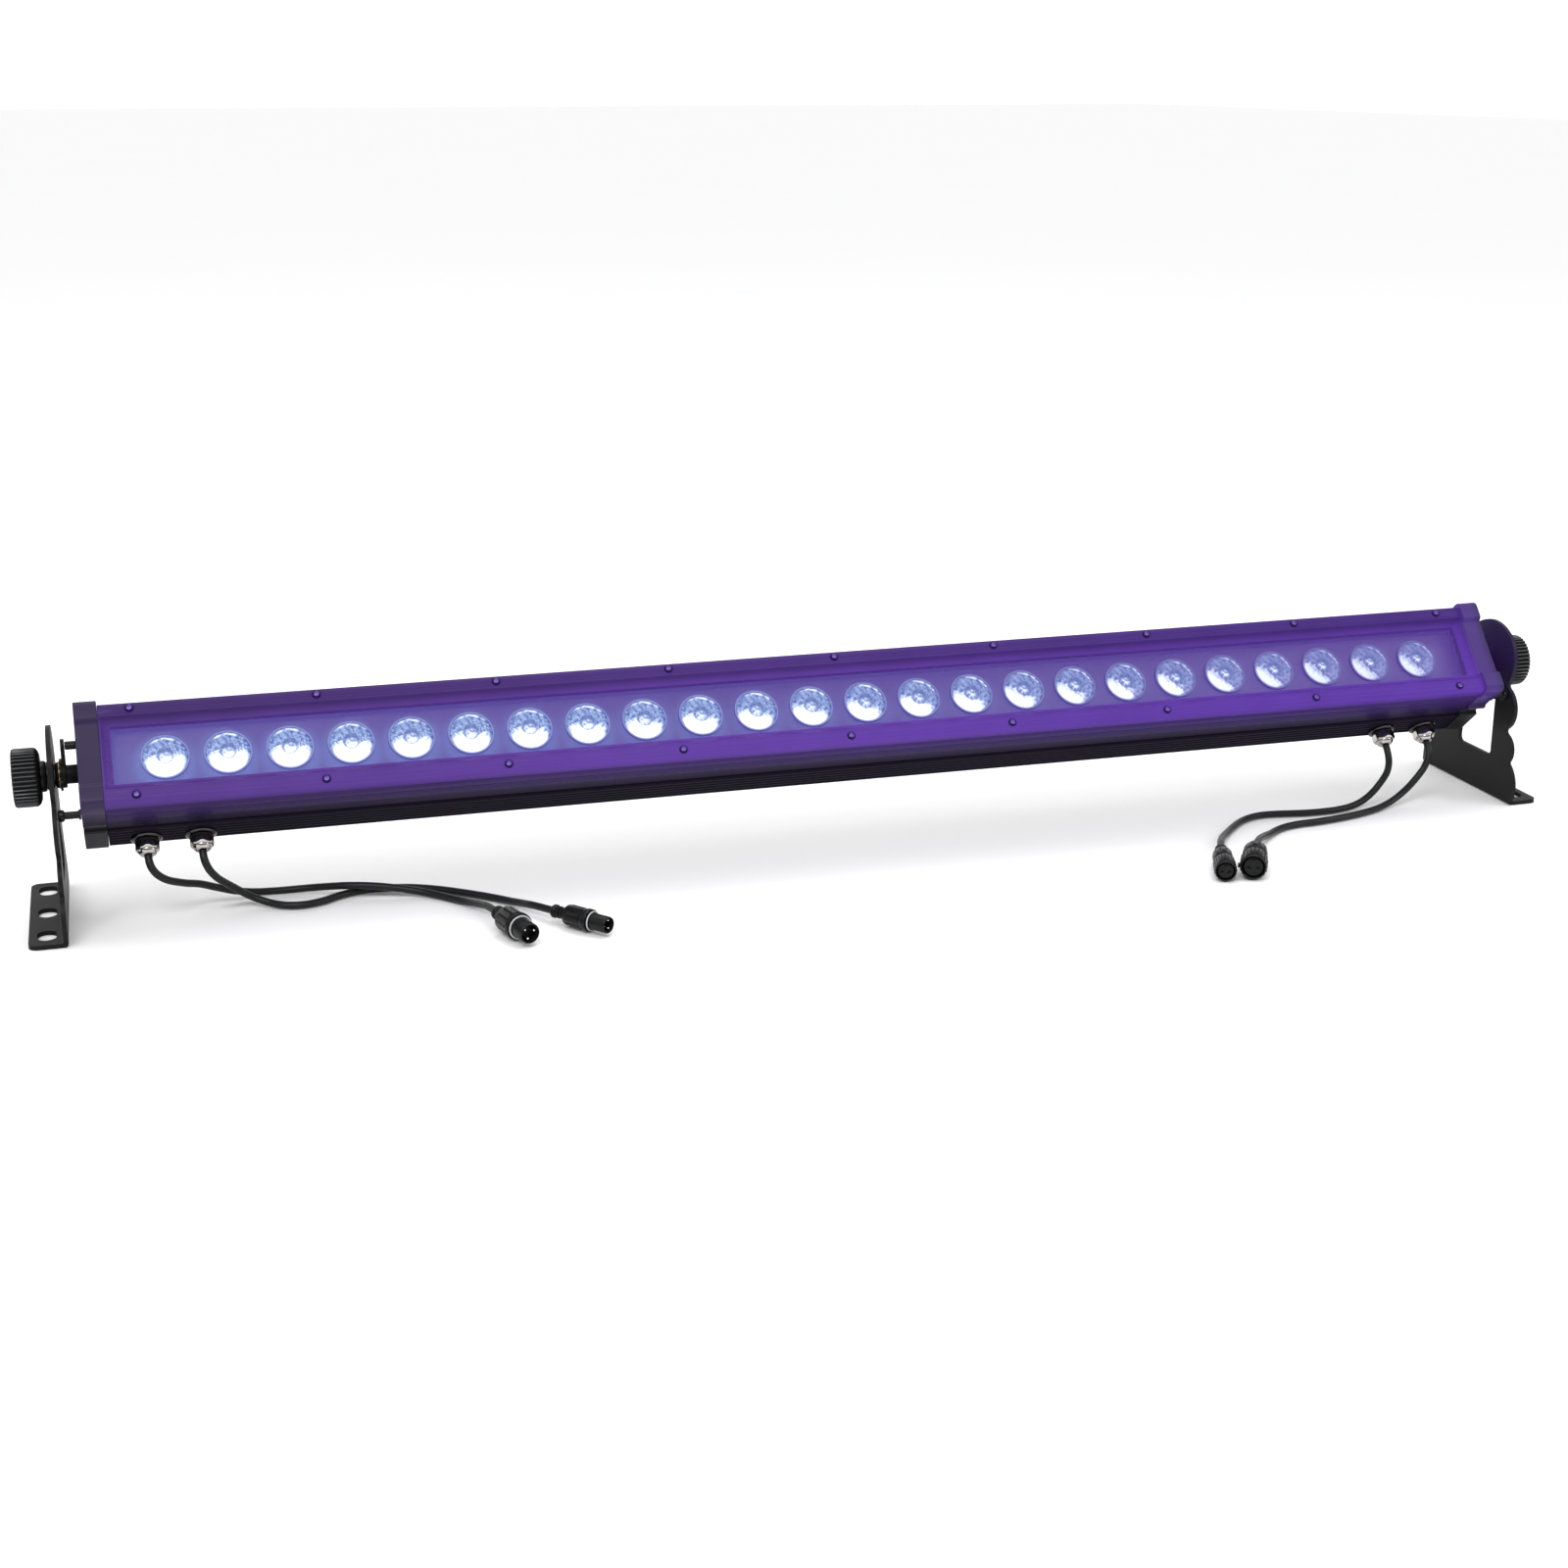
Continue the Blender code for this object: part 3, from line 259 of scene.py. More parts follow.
def anodised(name, spill):
    """Black anodised extrusion: fine draw lines along the bar, and painted violet light spilled near the
    window.
    """
    material, tree, shader = new_material(name, specular_ior_level=0.0, coat_weight=0.2, coat_roughness=0.3)
    x, y, z, vector = local_axes(tree)
    lines = grain(tree, stretched(tree, vector, (0.8, 420.0, 420.0)), 1.0, 1.0)
    clouds = grain(tree, vector, 28.0, 4.0)
    color = blend_color(tree, lines, (0.0045, 0.0043, 0.006), (0.0085, 0.008, 0.0105))
    color = blend_color(tree, times(tree, clouds, 0.3), color, (0.013, 0.011, 0.017))
    feed(shader, "Base Color", color)
    feed(shader, "Coat Roughness", fade(tree, lines, 0.2, 0.8, 0.22, 0.42))
    glow, strength = spill_over(tree, x, spill(tree, y, z))
    strength = times(tree, strength, fade(tree, clouds, 0.2, 0.8, 0.93, 1.07))
    glow_with(shader, glow, strength)
    return material


def bezel_spill(tree, y, z):
    """The painted violet light on the bezel: bright at the foot of the slopes, paler on the lower strip than on
    the upper, fading down the sides.
    """
    across = fade(tree, y, -0.034, 0.034, 1.12, 0.62)
    down = fade(tree, z, 0.014, 0.0275, 0.42, 1.0)
    reach = calc(tree, "ABSOLUTE", y)
    foot = times(tree, fade(tree, reach, 0.0262, 0.0205), fade(tree, z, 0.0281, 0.0235, 0.25, 0.55))
    shade = fade(tree, reach, 0.0252, 0.0262, 0.75, 1.0)
    lit = times(tree, times(tree, across, down), shade)
    return calc(tree, "ADD", lit, foot)


def housing_spill(tree, y, z):
    """Only the front side of the housing, above its fins, catches the light."""
    front = fade(tree, y, -0.03, 0.02, 0.8, 0.35)
    return times(tree, fade(tree, z, -0.02, 0.019, 0.02, 0.46), front)


def cap_plastic():
    """Moulded end caps: a fine spark-eroded grain, grey at the plug end and violet-lit at the socket end."""
    material, tree, shader = new_material("cap_plastic", specular_ior_level=0.04, coat_weight=0.22,
                                          coat_roughness=0.34)
    x, y, z, vector = local_axes(tree)
    fine = grain(tree, vector, 1500.0, 2.0)
    clouds = grain(tree, vector, 60.0, 3.0)
    color = blend_color(tree, clouds, (0.011, 0.0105, 0.013), (0.019, 0.018, 0.022))
    feed(shader, "Base Color", color)
    feed(shader, "Roughness", fade(tree, fine, 0.3, 0.7, 0.36, 0.52))
    feed(shader, "Normal", bump(tree, fine, 0.25, 0.06))
    lit = fade(tree, z, -0.014, 0.03)
    outer = fade(tree, x, 0.507, 0.517, 1.0, 0.35)
    right = times(tree, fade(tree, x, 0.0, 0.4, 0.24, 0.64), outer)
    glow_with(shader, *spill_over(tree, x, times(tree, lit, right)))
    return material


def powder_coat():
    """Satin black powder coat with its fine orange peel, and painted violet light on the disc by the lit cap.
    """
    material, tree, shader = new_material("powder_coat", specular_ior_level=0.02, coat_weight=0.22,
                                          coat_roughness=0.42)
    x, y, z, vector = local_axes(tree)
    peel = grain(tree, vector, 900.0, 3.0)
    clouds = grain(tree, vector, 35.0, 4.0)
    rubbed = fade(tree, grain(tree, vector, 160.0, 5.0, 0.7), 0.66, 0.74, 0.0, 0.5)
    color = blend_color(tree, clouds, (0.006, 0.006, 0.0062), (0.0105, 0.0105, 0.011))
    color = blend_color(tree, rubbed, color, (0.017, 0.017, 0.018))
    feed(shader, "Base Color", color)
    feed(shader, "Roughness", fade(tree, clouds, 0.3, 0.7, 0.42, 0.55))
    feed(shader, "Normal", bump(tree, peel, 0.35, 0.1))
    lit = times(tree, fade(tree, x, 0.3, 0.5), fade(tree, z, -0.03, 0.02, 0.0, 0.13))
    glow_with(shader, *spill_over(tree, x, lit))
    return material


def moulded_plastic(name, dark, pale, gloss):
    """Moulded black plastic, with a faint grain and slight polish differences."""
    material, tree, shader = new_material(name, specular_ior_level=0.1, coat_weight=0.12, coat_roughness=0.18)
    vector = local_axes(tree)[3]
    fine = grain(tree, vector, 1100.0, 2.0)
    clouds = grain(tree, vector, 90.0, 3.0)
    feed(shader, "Base Color", blend_color(tree, clouds, dark, pale))
    feed(shader, "Roughness", fade(tree, clouds, 0.25, 0.75, gloss, gloss + 0.12))
    feed(shader, "Normal", bump(tree, fine, 0.18, 0.05))
    return material


def knob_plastic():
    """The knob's black plastic: matt in the valleys, polished by hands on the tops of its ribs, which also
    carry a painted highlight in a lighter colour.
    """
    material, tree, shader = new_material("knob_plastic", specular_ior_level=0.1, coat_roughness=0.16)
    x, y, z, vector = local_axes(tree)
    section = node(tree, "CombineXYZ", {0: 0.0, 1: y, 2: z})
    radius = length_of(tree, section)
    # Rib tops: a glossier coat, and a lighter colour that is a painted highlight
    polish_and_painted_highlight = fade(tree, radius, 0.0181, 0.0193)
    clouds = grain(tree, vector, 90.0, 3.0)
    color = blend_color(tree, clouds, (0.004, 0.004, 0.0043), (0.009, 0.009, 0.0095))
    feed(shader, "Base Color", blend_color(tree, polish_and_painted_highlight, color, (0.06, 0.063, 0.066)))
    feed(shader, "Coat Weight", fade(tree, polish_and_painted_highlight, 0.0, 1.0, 0.15, 0.7))
    feed(shader, "Roughness", fade(tree, clouds, 0.25, 0.75, 0.3, 0.42))
    return material


def metal(name, dark, pale, gloss, scale):
    """Plated metal: cloudy plating and fine rubbing marks."""
    material, tree, shader = new_material(name, metallic=1.0)
    vector = local_axes(tree)[3]
    clouds = grain(tree, vector, scale, 4.0)
    marks = grain(tree, stretched(tree, vector, (300.0, 300.0, 5200.0)), 1.0, 2.0)
    feed(shader, "Base Color", blend_color(tree, clouds, dark, pale))
    feed(shader, "Roughness", fade(tree, marks, 0.2, 0.8, gloss, gloss + 0.1))
    feed(shader, "Normal", bump(tree, marks, 0.08, 0.02))
    return material


def rubber(name, dark, pale, gloss):
    material, tree, shader = new_material(name, specular_ior_level=0.12, coat_weight=0.2, coat_roughness=0.26)
    vector = local_axes(tree)[3]
    dust = grain(tree, vector, 240.0, 5.0, 0.65)
    clouds = grain(tree, vector, 22.0, 3.0)
    color = blend_color(tree, clouds, dark, pale)
    dusty = tuple(2.2 * part for part in pale)
    color = blend_color(tree, fade(tree, dust, 0.58, 0.8, 0.0, 0.3), color, dusty)
    feed(shader, "Base Color", color)
    feed(shader, "Roughness", fade(tree, dust, 0.3, 0.7, gloss, gloss + 0.14))
    feed(shader, "Normal", bump(tree, dust, 0.16, 0.05))
    return material


def window_glass():
    """Clear toughened glass with a faint smear."""
    material, tree, shader = new_material("window_glass", transmission_weight=1.0, ior=1.12)
    shader.inputs["Base Color"].default_value = (0.97, 0.97, 1.0, 1.0)
    vector = local_axes(tree)[3]
    smear = grain(tree, stretched(tree, vector, (6.0, 26.0, 26.0)), 1.0, 4.0)
    feed(shader, "Roughness", fade(tree, smear, 0.35, 0.8, 0.0, 0.06))
    return material


def lens_frame(tree, x):
    """Where a point lies from the middle of its own lens, in lens radii, and how far along the row it is."""
    first = LENS_PITCH * (LENS_COUNT - 1) / 2 * MM
    steps = calc(tree, "DIVIDE", calc(tree, "ADD", x, first), LENS_PITCH * MM)
    nearest = calc(tree, "MAXIMUM", calc(tree, "MINIMUM", calc(tree, "ROUND", steps), LENS_COUNT - 1), 0.0)
    across = times(tree, calc(tree, "SUBTRACT", steps, nearest), LENS_PITCH / LENS_RADIUS)
    return across, calc(tree, "DIVIDE", nearest, LENS_COUNT - 1)


def window_light(tree, x, y, share):
    """The milky light behind the window: blue violet at the plug end, purple at the socket end."""
    violet = blend_color(tree, share, (0.085, 0.072, 0.31), (0.078, 0.03, 0.25))
    upper = fade(tree, y, -0.01, 0.021, 0.0, 0.45)
    return blend_color(tree, upper, violet, (0.080, 0.036, 0.26))


def lens_carrier_finish():
    # All painted light: the carrier glows with the window's violet light, bluer round each lens and less so
    # towards the socket end
    material, tree, shader = new_material("lens_carrier", base_color=(0.02, 0.015, 0.05))
    x, y, z, vector = local_axes(tree)
    across, share = lens_frame(tree, x)
    up = calc(tree, "DIVIDE", y, LENS_RADIUS * MM)
    lower = calc(tree, "ADD", up, 0.25)
    distance = calc(tree, "SQRT", calc(tree, "ADD", squared(tree, across), squared(tree, lower)))
    clouds = grain(tree, vector, 45.0, 3.0)
    near = fade(tree, calc(tree, "ADD", distance, times(tree, clouds, 0.25)), 1.7, 1.05)
    near = times(tree, near, fade(tree, share, 0.0, 0.8, 0.75, 0.12))
    color = blend_color(tree, near, window_light(tree, x, y, share), (0.115, 0.16, 0.47))
    feed(shader, "Emission Color", color)
    shader.inputs["Emission Strength"].default_value = 1.0
    feed(shader, "Roughness", fade(tree, clouds, 0.3, 0.7, 0.4, 0.55))
    return material


def lens_finish():
    """A lit lens: a hot lower lobe, a bright upper arc, blue depths, ring edges and facet sparkle."""
    material, tree, shader = new_material("lens_light", base_color=(0.01, 0.014, 0.03), roughness=0.12,
                                          specular_ior_level=0.1, coat_weight=0.25, coat_roughness=0.04)
    x, y, z, vector = local_axes(tree)
    across, share = lens_frame(tree, x)
    up = calc(tree, "DIVIDE", y, LENS_RADIUS * MM)
    flat = node(tree, "CombineXYZ", {0: across, 1: up, 2: 0.0})
    wobble = node(tree, "TexNoise", {"Vector": vector, "Scale": 190.0, "Detail": 2.0}, output="Color")
    wobble = node(tree, "VectorMath", {0: wobble, 1: (0.5, 0.5, 0.5)}, operation="SUBTRACT")
    wobble = node(tree, "VectorMath", {0: wobble, 1: (0.3, 0.3, 0.0)}, operation="MULTIPLY")
    wavy = node(tree, "VectorMath", {0: flat, 1: wobble}, operation="ADD")
    turn = fade(tree, share, 0.1, 1.0, 0.0, math.radians(52))
    wavy = node(tree, "VectorRotate", {"Vector": wavy, "Angle": turn}, rotation_type="Z_AXIS")
    u, v, _ = split_up(tree, wavy)
    radius = length_of(tree, flat)

    def oval(centre_v, half_u, half_v, soft):
        part_u = squared(tree, calc(tree, "DIVIDE", u, half_u))
        part_v = squared(tree, calc(tree, "DIVIDE", calc(tree, "SUBTRACT", v, centre_v), half_v))
        return fade(tree, calc(tree, "ADD", part_u, part_v), 1.0 + soft, 1.0 - soft)

    def band(middle, half):
        return fade(tree, calc(tree, "ABSOLUTE", calc(tree, "SUBTRACT", radius, middle)), half, half * 0.4)

    streaks = node(tree, "TexNoise", {"Vector": flat, "Scale": 5.5, "Detail": 3.0, "Roughness": 0.6})
    edge = fade(tree, radius, 1.0, 0.82)
    dim = fade(tree, share, 0.35, 1.0, 1.0, 0.42)
    body = blend_color(tree, fade(tree, streaks, 0.38, 0.62), (0.065, 0.12, 0.40), (0.33, 0.46, 0.80))
    body = blend_color(tree, fade(tree, share, 0.3, 1.0, 0.0, 0.62), body, (0.15, 0.11, 0.42))
    color = blend_color(tree, edge, window_light(tree, x, y, share), body)
    sparks = node(tree, "TexVoronoi", {"Vector": flat, "Scale": 7.5}, feature="DISTANCE_TO_EDGE")
    facets = times(tree, fade(tree, sparks, 0.03, 0.22), oval(0.12, 0.74, 0.5, 0.4))
    facets = times(tree, facets, fade(tree, share, 0.1, 0.9, 0.5, 0.14))
    color = blend_color(tree, facets, color, (0.62, 0.74, 0.98))
    ragged = times(tree, calc(tree, "SUBTRACT", streaks, 0.5), 0.7)
    depth = calc(tree, "SUBTRACT", ragged, v)
    depth = calc(tree, "SUBTRACT", depth, times(tree, share, 0.4))
    hot = times(tree, fade(tree, depth, -0.2, 0.3), fade(tree, calc(tree, "ABSOLUTE", u), 0.92, 0.55))
    hot = times(tree, times(tree, hot, dim), fade(tree, radius, 0.97, 0.84))
    color = blend_color(tree, hot, color, (1.75, 1.9, 2.1))
    gate = times(tree, fade(tree, v, 0.5, 0.8), fade(tree, streaks, 0.38, 0.52, 0.25, 1.0))
    arc = times(tree, times(tree, band(0.82, 0.075), gate), dim)
    color = blend_color(tree, times(tree, arc, 0.85), color, (1.1, 1.2, 1.4))
    rim = times(tree, band(0.96, 0.04), times(tree, dim, 0.42))
    color = blend_color(tree, rim, color, (0.5, 0.58, 0.95))
    core = times(tree, band(0.3, 0.08), 0.7)
    color = blend_color(tree, core, color, (0.12, 0.17, 0.42))
    heart = times(tree, fade(tree, radius, 0.24, 0.08), fade(tree, streaks, 0.42, 0.58, 0.1, 0.8))
    color = blend_color(tree, heart, color, (1.0, 1.12, 1.4))
    feed(shader, "Emission Color", color)
    shader.inputs["Emission Strength"].default_value = 1.0
    return material


def gasket_finish():
    """Black sponge rubber, seen only through the edge of the lit glass, with a painted violet glow of the
    window's light.
    """
    material, tree, shader = new_material("gasket", roughness=0.7, emission_strength=1.0)
    vector = local_axes(tree)[3]
    pores = grain(tree, vector, 700.0, 4.0)
    feed(shader, "Base Color", blend_color(tree, pores, (0.006, 0.006, 0.007), (0.014, 0.013, 0.016)))
    feed(shader, "Emission Color", blend_color(tree, pores, (0.05, 0.022, 0.17), (0.07, 0.03, 0.22)))
    return material


def face_screw_finish():
    """Blackened steel with painted violet light: a painted bright middle, violet in colour and glow, inside a
    dark rim with only a faint painted glow.
    """
    material, tree, shader = new_material("face_screw", metallic=1.0, roughness=0.3)
    x, y, z, vector = local_axes(tree)
    flat = node(tree, "CombineXYZ", {0: x, 1: y, 2: 0.0})
    radius = length_of(tree, flat)
    rim = fade(tree, radius, 0.0013, 0.0018)
    marks = grain(tree, vector, 900.0, 2.0)
    # Painted light: the middle's violet colour stands in for the lit steel; the rim keeps the steel's own
    # near-black
    core = blend_color(tree, marks, (0.08, 0.05, 0.17), (0.16, 0.12, 0.3))
    feed(shader, "Base Color", blend_color(tree, rim, core, (0.012, 0.008, 0.03)))
    glow = blend_color(tree, rim, (0.1, 0.06, 0.26), (0.012, 0.005, 0.045))
    feed(shader, "Emission Color", glow)
    shader.inputs["Emission Strength"].default_value = 1.0
    return material


def circuit_board():
    material, tree, shader = new_material("circuit_board", roughness=0.35)
    vector = local_axes(tree)[3]
    tracks = node(tree, "TexBrick", {"Vector": vector, "Scale": 260.0, "Mortar Size": 0.04})
    clouds = grain(tree, vector, 120.0)
    color = blend_color(tree, clouds, (0.01, 0.07, 0.03), (0.02, 0.12, 0.05))
    feed(shader, "Base Color", blend_color(tree, 0.2, color, tracks, "MULTIPLY"))
    return material


def led_board_finish():
    material, tree, shader = new_material("led_board", roughness=0.4)
    vector = local_axes(tree)[3]
    clouds = grain(tree, vector, 200.0)
    feed(shader, "Base Color", blend_color(tree, clouds, (0.6, 0.6, 0.64), (0.74, 0.74, 0.78)))
    return material


def floor_finish():
    material, tree, shader = new_material("floor", specular_ior_level=0.2)
    vector = local_axes(tree)[3]
    clouds = grain(tree, vector, 1.5, 3.0)
    feed(shader, "Base Color", blend_color(tree, clouds, (0.93, 0.93, 0.93), (0.95, 0.95, 0.95)))
    shader.inputs["Roughness"].default_value = 0.75
    return material


materials = {
    "bezel": anodised("bezel_anodised", bezel_spill),
    "housing": anodised("housing_anodised", housing_spill),
    "cap": cap_plastic(),
    "powder": powder_coat(),
    "knob": knob_plastic(),
    "stud_plastic": moulded_plastic("stud_plastic", (0.006, 0.006, 0.0065), (0.012, 0.012, 0.0125), 0.3),
    "connector": moulded_plastic("connector_plastic", (0.005, 0.0052, 0.0056), (0.010, 0.0104, 0.011), 0.28),
    "contact_block": moulded_plastic("contact_block", (0.006, 0.006, 0.006), (0.011, 0.010, 0.010), 0.45),
    "nickel": metal("gland_nickel", (0.36, 0.34, 0.33), (0.58, 0.55, 0.53), 0.06, 140.0),
    "dark_nickel": metal("dark_nickel", (0.035, 0.033, 0.035), (0.09, 0.085, 0.085), 0.1, 140.0),
    "steel": metal("screw_steel", (0.30, 0.29, 0.31), (0.48, 0.47, 0.5), 0.24, 300.0),
    "pin": metal("pin_nickel", (0.62, 0.6, 0.58), (0.82, 0.8, 0.78), 0.2, 300.0),
    "black_steel": metal("black_steel", (0.014, 0.014, 0.015), (0.03, 0.029, 0.03), 0.3, 300.0),
    "face_screw": face_screw_finish(),
    "gasket": gasket_finish(),
    "brass": metal("brass", (0.2, 0.13, 0.05), (0.32, 0.22, 0.09), 0.25, 200.0),
    "copper": metal("contact_copper", (0.3, 0.1, 0.05), (0.45, 0.17, 0.08), 0.35, 200.0),
    "driver": metal("driver_case", (0.5, 0.5, 0.52), (0.62, 0.62, 0.64), 0.32, 60.0),
    "cable": rubber("cable_rubber", (0.007, 0.0073, 0.0078), (0.013, 0.0135, 0.0143), 0.36),
    "black_rubber": rubber("black_rubber", (0.01, 0.01, 0.01), (0.017, 0.017, 0.017), 0.5),
    "seal": rubber("seal_rubber", (0.36, 0.38, 0.39), (0.5, 0.52, 0.53), 0.42),
    "glass": window_glass(),
    "lens": lens_finish(),
    "carrier": lens_carrier_finish(),
    "board": circuit_board(),
    "led_board": led_board_finish(),
    "floor": floor_finish(),
}


# Mesh helpers


def lathe(bm, profile, sides, place=UPRIGHT, turn=0.0):
    """Turns a (radius, height) profile about +Z. One that starts and ends off the axis closes on itself."""
    rings = []
    for radius, height in profile:
        if radius == 0.0:
            rings.append([bm.verts.new(place @ (Vector((0, 0, height)) * MM))])
            continue
        angles = [turn + math.tau * side / sides for side in range(sides)]
        spots = [Vector((radius * math.cos(a), radius * math.sin(a), height)) for a in angles]
        rings.append([bm.verts.new(place @ (spot * MM)) for spot in spots])
    closed = len(rings[0]) > 1 or len(rings[-1]) > 1
    for index in range(len(rings) if closed else len(rings) - 1):
        low = rings[index]
        high = rings[(index + 1) % len(rings)]
        for side in range(sides):
            following = (side + 1) % sides
            corners = [low[side % len(low)], low[following % len(low)]]
            corners += [high[following % len(high)], high[side % len(high)]]
            bm.faces.new(list(dict.fromkeys(corners)))


def prism(bm, outline, low, high, place=UPRIGHT):
    """Pushes an (x, y) outline along z from low to high."""
    near = [bm.verts.new(place @ (Vector((x, y, low)) * MM)) for x, y in outline]
    far = [bm.verts.new(place @ (Vector((x, y, high)) * MM)) for x, y in outline]
    bm.faces.new(near)
    bm.faces.new(far)
    for index in range(len(outline)):
        following = (index + 1) % len(outline)
        bm.faces.new([near[index], near[following], far[following], far[index]])


def stack(bm, loops):
    """A solid whose sections are the given loops of points, one after another."""
    rings = [[bm.verts.new(point) for point in loop] for loop in loops]
    count = len(rings[0])
    for low, high in zip(rings, rings[1:]):
        for index in range(count):
            following = (index + 1) % count
            bm.faces.new([low[index], low[following], high[following], high[index]])
    bm.faces.new(rings[0])
    bm.faces.new(rings[-1])


def arc_through(start, middle, end, steps):
    """Points of the circular arc from start through middle to end, without the start."""
    (ax, ay), (bx, by), (cx, cy) = start, middle, end
    double = 2 * (ax * (by - cy) + bx * (cy - ay) + cx * (ay - by))
    sa, sb, sc = ax * ax + ay * ay, bx * bx + by * by, cx * cx + cy * cy
    centre_x = (sa * (by - cy) + sb * (cy - ay) + sc * (ay - by)) / double
    centre_y = (sa * (cx - bx) + sb * (ax - cx) + sc * (bx - ax)) / double
    radius = math.hypot(ax - centre_x, ay - centre_y)
    first = math.atan2(ay - centre_y, ax - centre_x)
    through = (math.atan2(by - centre_y, bx - centre_x) - first) % math.tau
    last = (math.atan2(cy - centre_y, cx - centre_x) - first) % math.tau
    sweep = last if through < last else last - math.tau
    angles = [first + sweep * step / steps for step in range(1, steps + 1)]
    return [(centre_x + radius * math.cos(a), centre_y + radius * math.sin(a)) for a in angles]


def rounded(corners, radius, steps):
    """A polygon with each corner replaced by an arc. A corner may carry its own radius as a third number."""
    outline = []
    for index, corner in enumerate(corners):
        size = corner[2] if len(corner) > 2 else radius
        here = Vector(corner[:2])
        before = (Vector(corners[index - 1][:2]) - here).normalized()
        after = (Vector(corners[(index + 1) % len(corners)][:2]) - here).normalized()
        half_angle = before.angle(after) / 2
        reach = size / math.tan(half_angle)
        centre = here + (before + after).normalized() * (size / math.sin(half_angle))
        start = here + before * reach
        middle = centre + (here - centre).normalized() * size
        outline.append(tuple(start))
        outline += arc_through(tuple(start), tuple(middle), tuple(here + after * reach), steps)
    return outline


def rod(radius, low, high, bore=0.0):
    """The profile of a plain cylinder, or of a tube where it has a bore."""
    return [(bore, low), (radius, low), (radius, high), (bore, high)]


def mirrored(half):
    return half + [(-y, z) for y, z in reversed(half)]


def mesh_from(bm, name):
    bmesh.ops.recalc_face_normals(bm, faces=bm.faces)
    mesh = bpy.data.meshes.new(name)
    bm.to_mesh(mesh)
    bm.free()
    return mesh


def turned(name, profile, sides, place=UPRIGHT, turn=0.0):
    bm = bmesh.new()
    lathe(bm, profile, sides, place, turn)
    return mesh_from(bm, name)


def extruded(name, outline, low, high, place=UPRIGHT):
    bm = bmesh.new()
    prism(bm, outline, low, high, place)
    return mesh_from(bm, name)


def at(x, y, z):
    """A move by millimetres."""
    return Matrix.Translation(Vector((x, y, z)) * MM)


def linked(name, data):
    """An object that is part of the scene."""
    obj = bpy.data.objects.new(name, data)
    bpy.context.scene.collection.objects.link(obj)
    return obj


def combined(mesh, tool, operation="DIFFERENCE"):
    """The mesh with the tool cut from it, or joined to it."""
    made = [linked("worked", mesh), linked("worked_tool", tool)]
    modifier = made[0].modifiers.new("work", "BOOLEAN")
    modifier.operation = operation
    modifier.object = made[1]
    modifier.solver = "EXACT"
    bpy.context.view_layer.update()
    result = bpy.data.meshes.new_from_object(made[0].evaluated_get(bpy.context.evaluated_depsgraph_get()))
    for obj in made:
        bpy.data.objects.remove(obj, do_unlink=True)
    return result


def piece(name, mesh, finish, body, place, replaces=(), bevel=0.0, segments=2):
    """Puts a finished piece that rides on a body into the scene."""
    obj = linked(name, mesh)
    mesh.materials.clear()
    mesh.materials.append(materials[finish])
    mesh.shade_smooth()
    mesh.set_sharp_from_angle(angle=math.radians(SHARP))
    obj.matrix_world = place
    if bevel:
        modifier = obj.modifiers.new("edges", "BEVEL")
        modifier.width = bevel * MM
        modifier.segments = segments
        modifier.limit_method = "ANGLE"
        modifier.angle_limit = math.radians(SHARP)
        modifier.harden_normals = True
    if replaces:
        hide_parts(*replaces)
    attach(obj, body)
    return obj


def along_x(side):
    """Turns +Z onto the outward direction of the bar's end."""
    return Matrix.Rotation(math.radians(90 * side), 4, "Y")


# Camera, then the cords


def make_camera():
    data = bpy.data.cameras.new("camera")
    data.lens = CAMERA_LENS
    camera = linked("camera", data)
    camera.location = CAMERA_PLACE
    camera.rotation_euler = (math.radians(90 - CAMERA_PITCH), 0, -math.radians(CAMERA_YAW))
    bpy.context.scene.camera = camera


def smooth_route(points, spacing):
    """Even steps along the smooth curve that passes through every route point."""
    spots = [Vector(point) for point in points]
    spots = [spots[0] * 2 - spots[1]] + spots + [spots[-1] * 2 - spots[-2]]
    fine = []
    for index in range(1, len(spots) - 2):
        a, b, c, d = spots[index - 1:index + 3]
        for step in range(24):
            t = step / 24
            fine.append(0.5 * (2 * b + (c - a) * t + (2 * a - 5 * b + 4 * c - d) * t * t
                               + (3 * b - a - 3 * c + d) * t * t * t))
    fine.append(spots[-2])
    lengths = [0.0]
    for before, after in zip(fine, fine[1:]):
        lengths.append(lengths[-1] + (after - before).length)
    count = round(lengths[-1] / spacing)
    even = []
    index = 0
    for step in range(count + 1):
        wanted = lengths[-1] * step / count
        while index < len(fine) - 2 and lengths[index + 1] < wanted:
            index += 1
        share = (wanted - lengths[index]) / (lengths[index + 1] - lengths[index])
        even.append(fine[index].lerp(fine[index + 1], share))
    return even, lengths[-1]


def connector_frame(lead):
    """+Z runs from the lead into the connector, level with the floor."""
    forward = Vector((*CONNECTOR_HEADINGS[lead], 0.0)).normalized()
    turn = forward.to_track_quat("Z", "Y").to_matrix().to_4x4()
    return Matrix.Translation(Vector(ROUTES[lead][-1]) * MM) @ turn


def make_cable(lead):
    spots, total = smooth_route(ROUTES[lead], 2.0)
    curve = bpy.data.curves.new(f"{lead}_lead", "CURVE")
    curve.dimensions = "3D"
    curve.bevel_depth = CABLE_RADIUS * MM
    curve.bevel_resolution = 5
    curve.use_fill_caps = True
    spline = curve.splines.new("POLY")
    spline.points.add(len(spots) - 1)
    for point, spot in zip(spline.points, spots):
        point.co = (*(spot * MM), 1.0)
    curve.materials.append(materials["cable"])
    obj = linked(f"{lead}_lead", curve)
    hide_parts(f"{lead}_cable")
    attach(obj, "head")


# Connectors


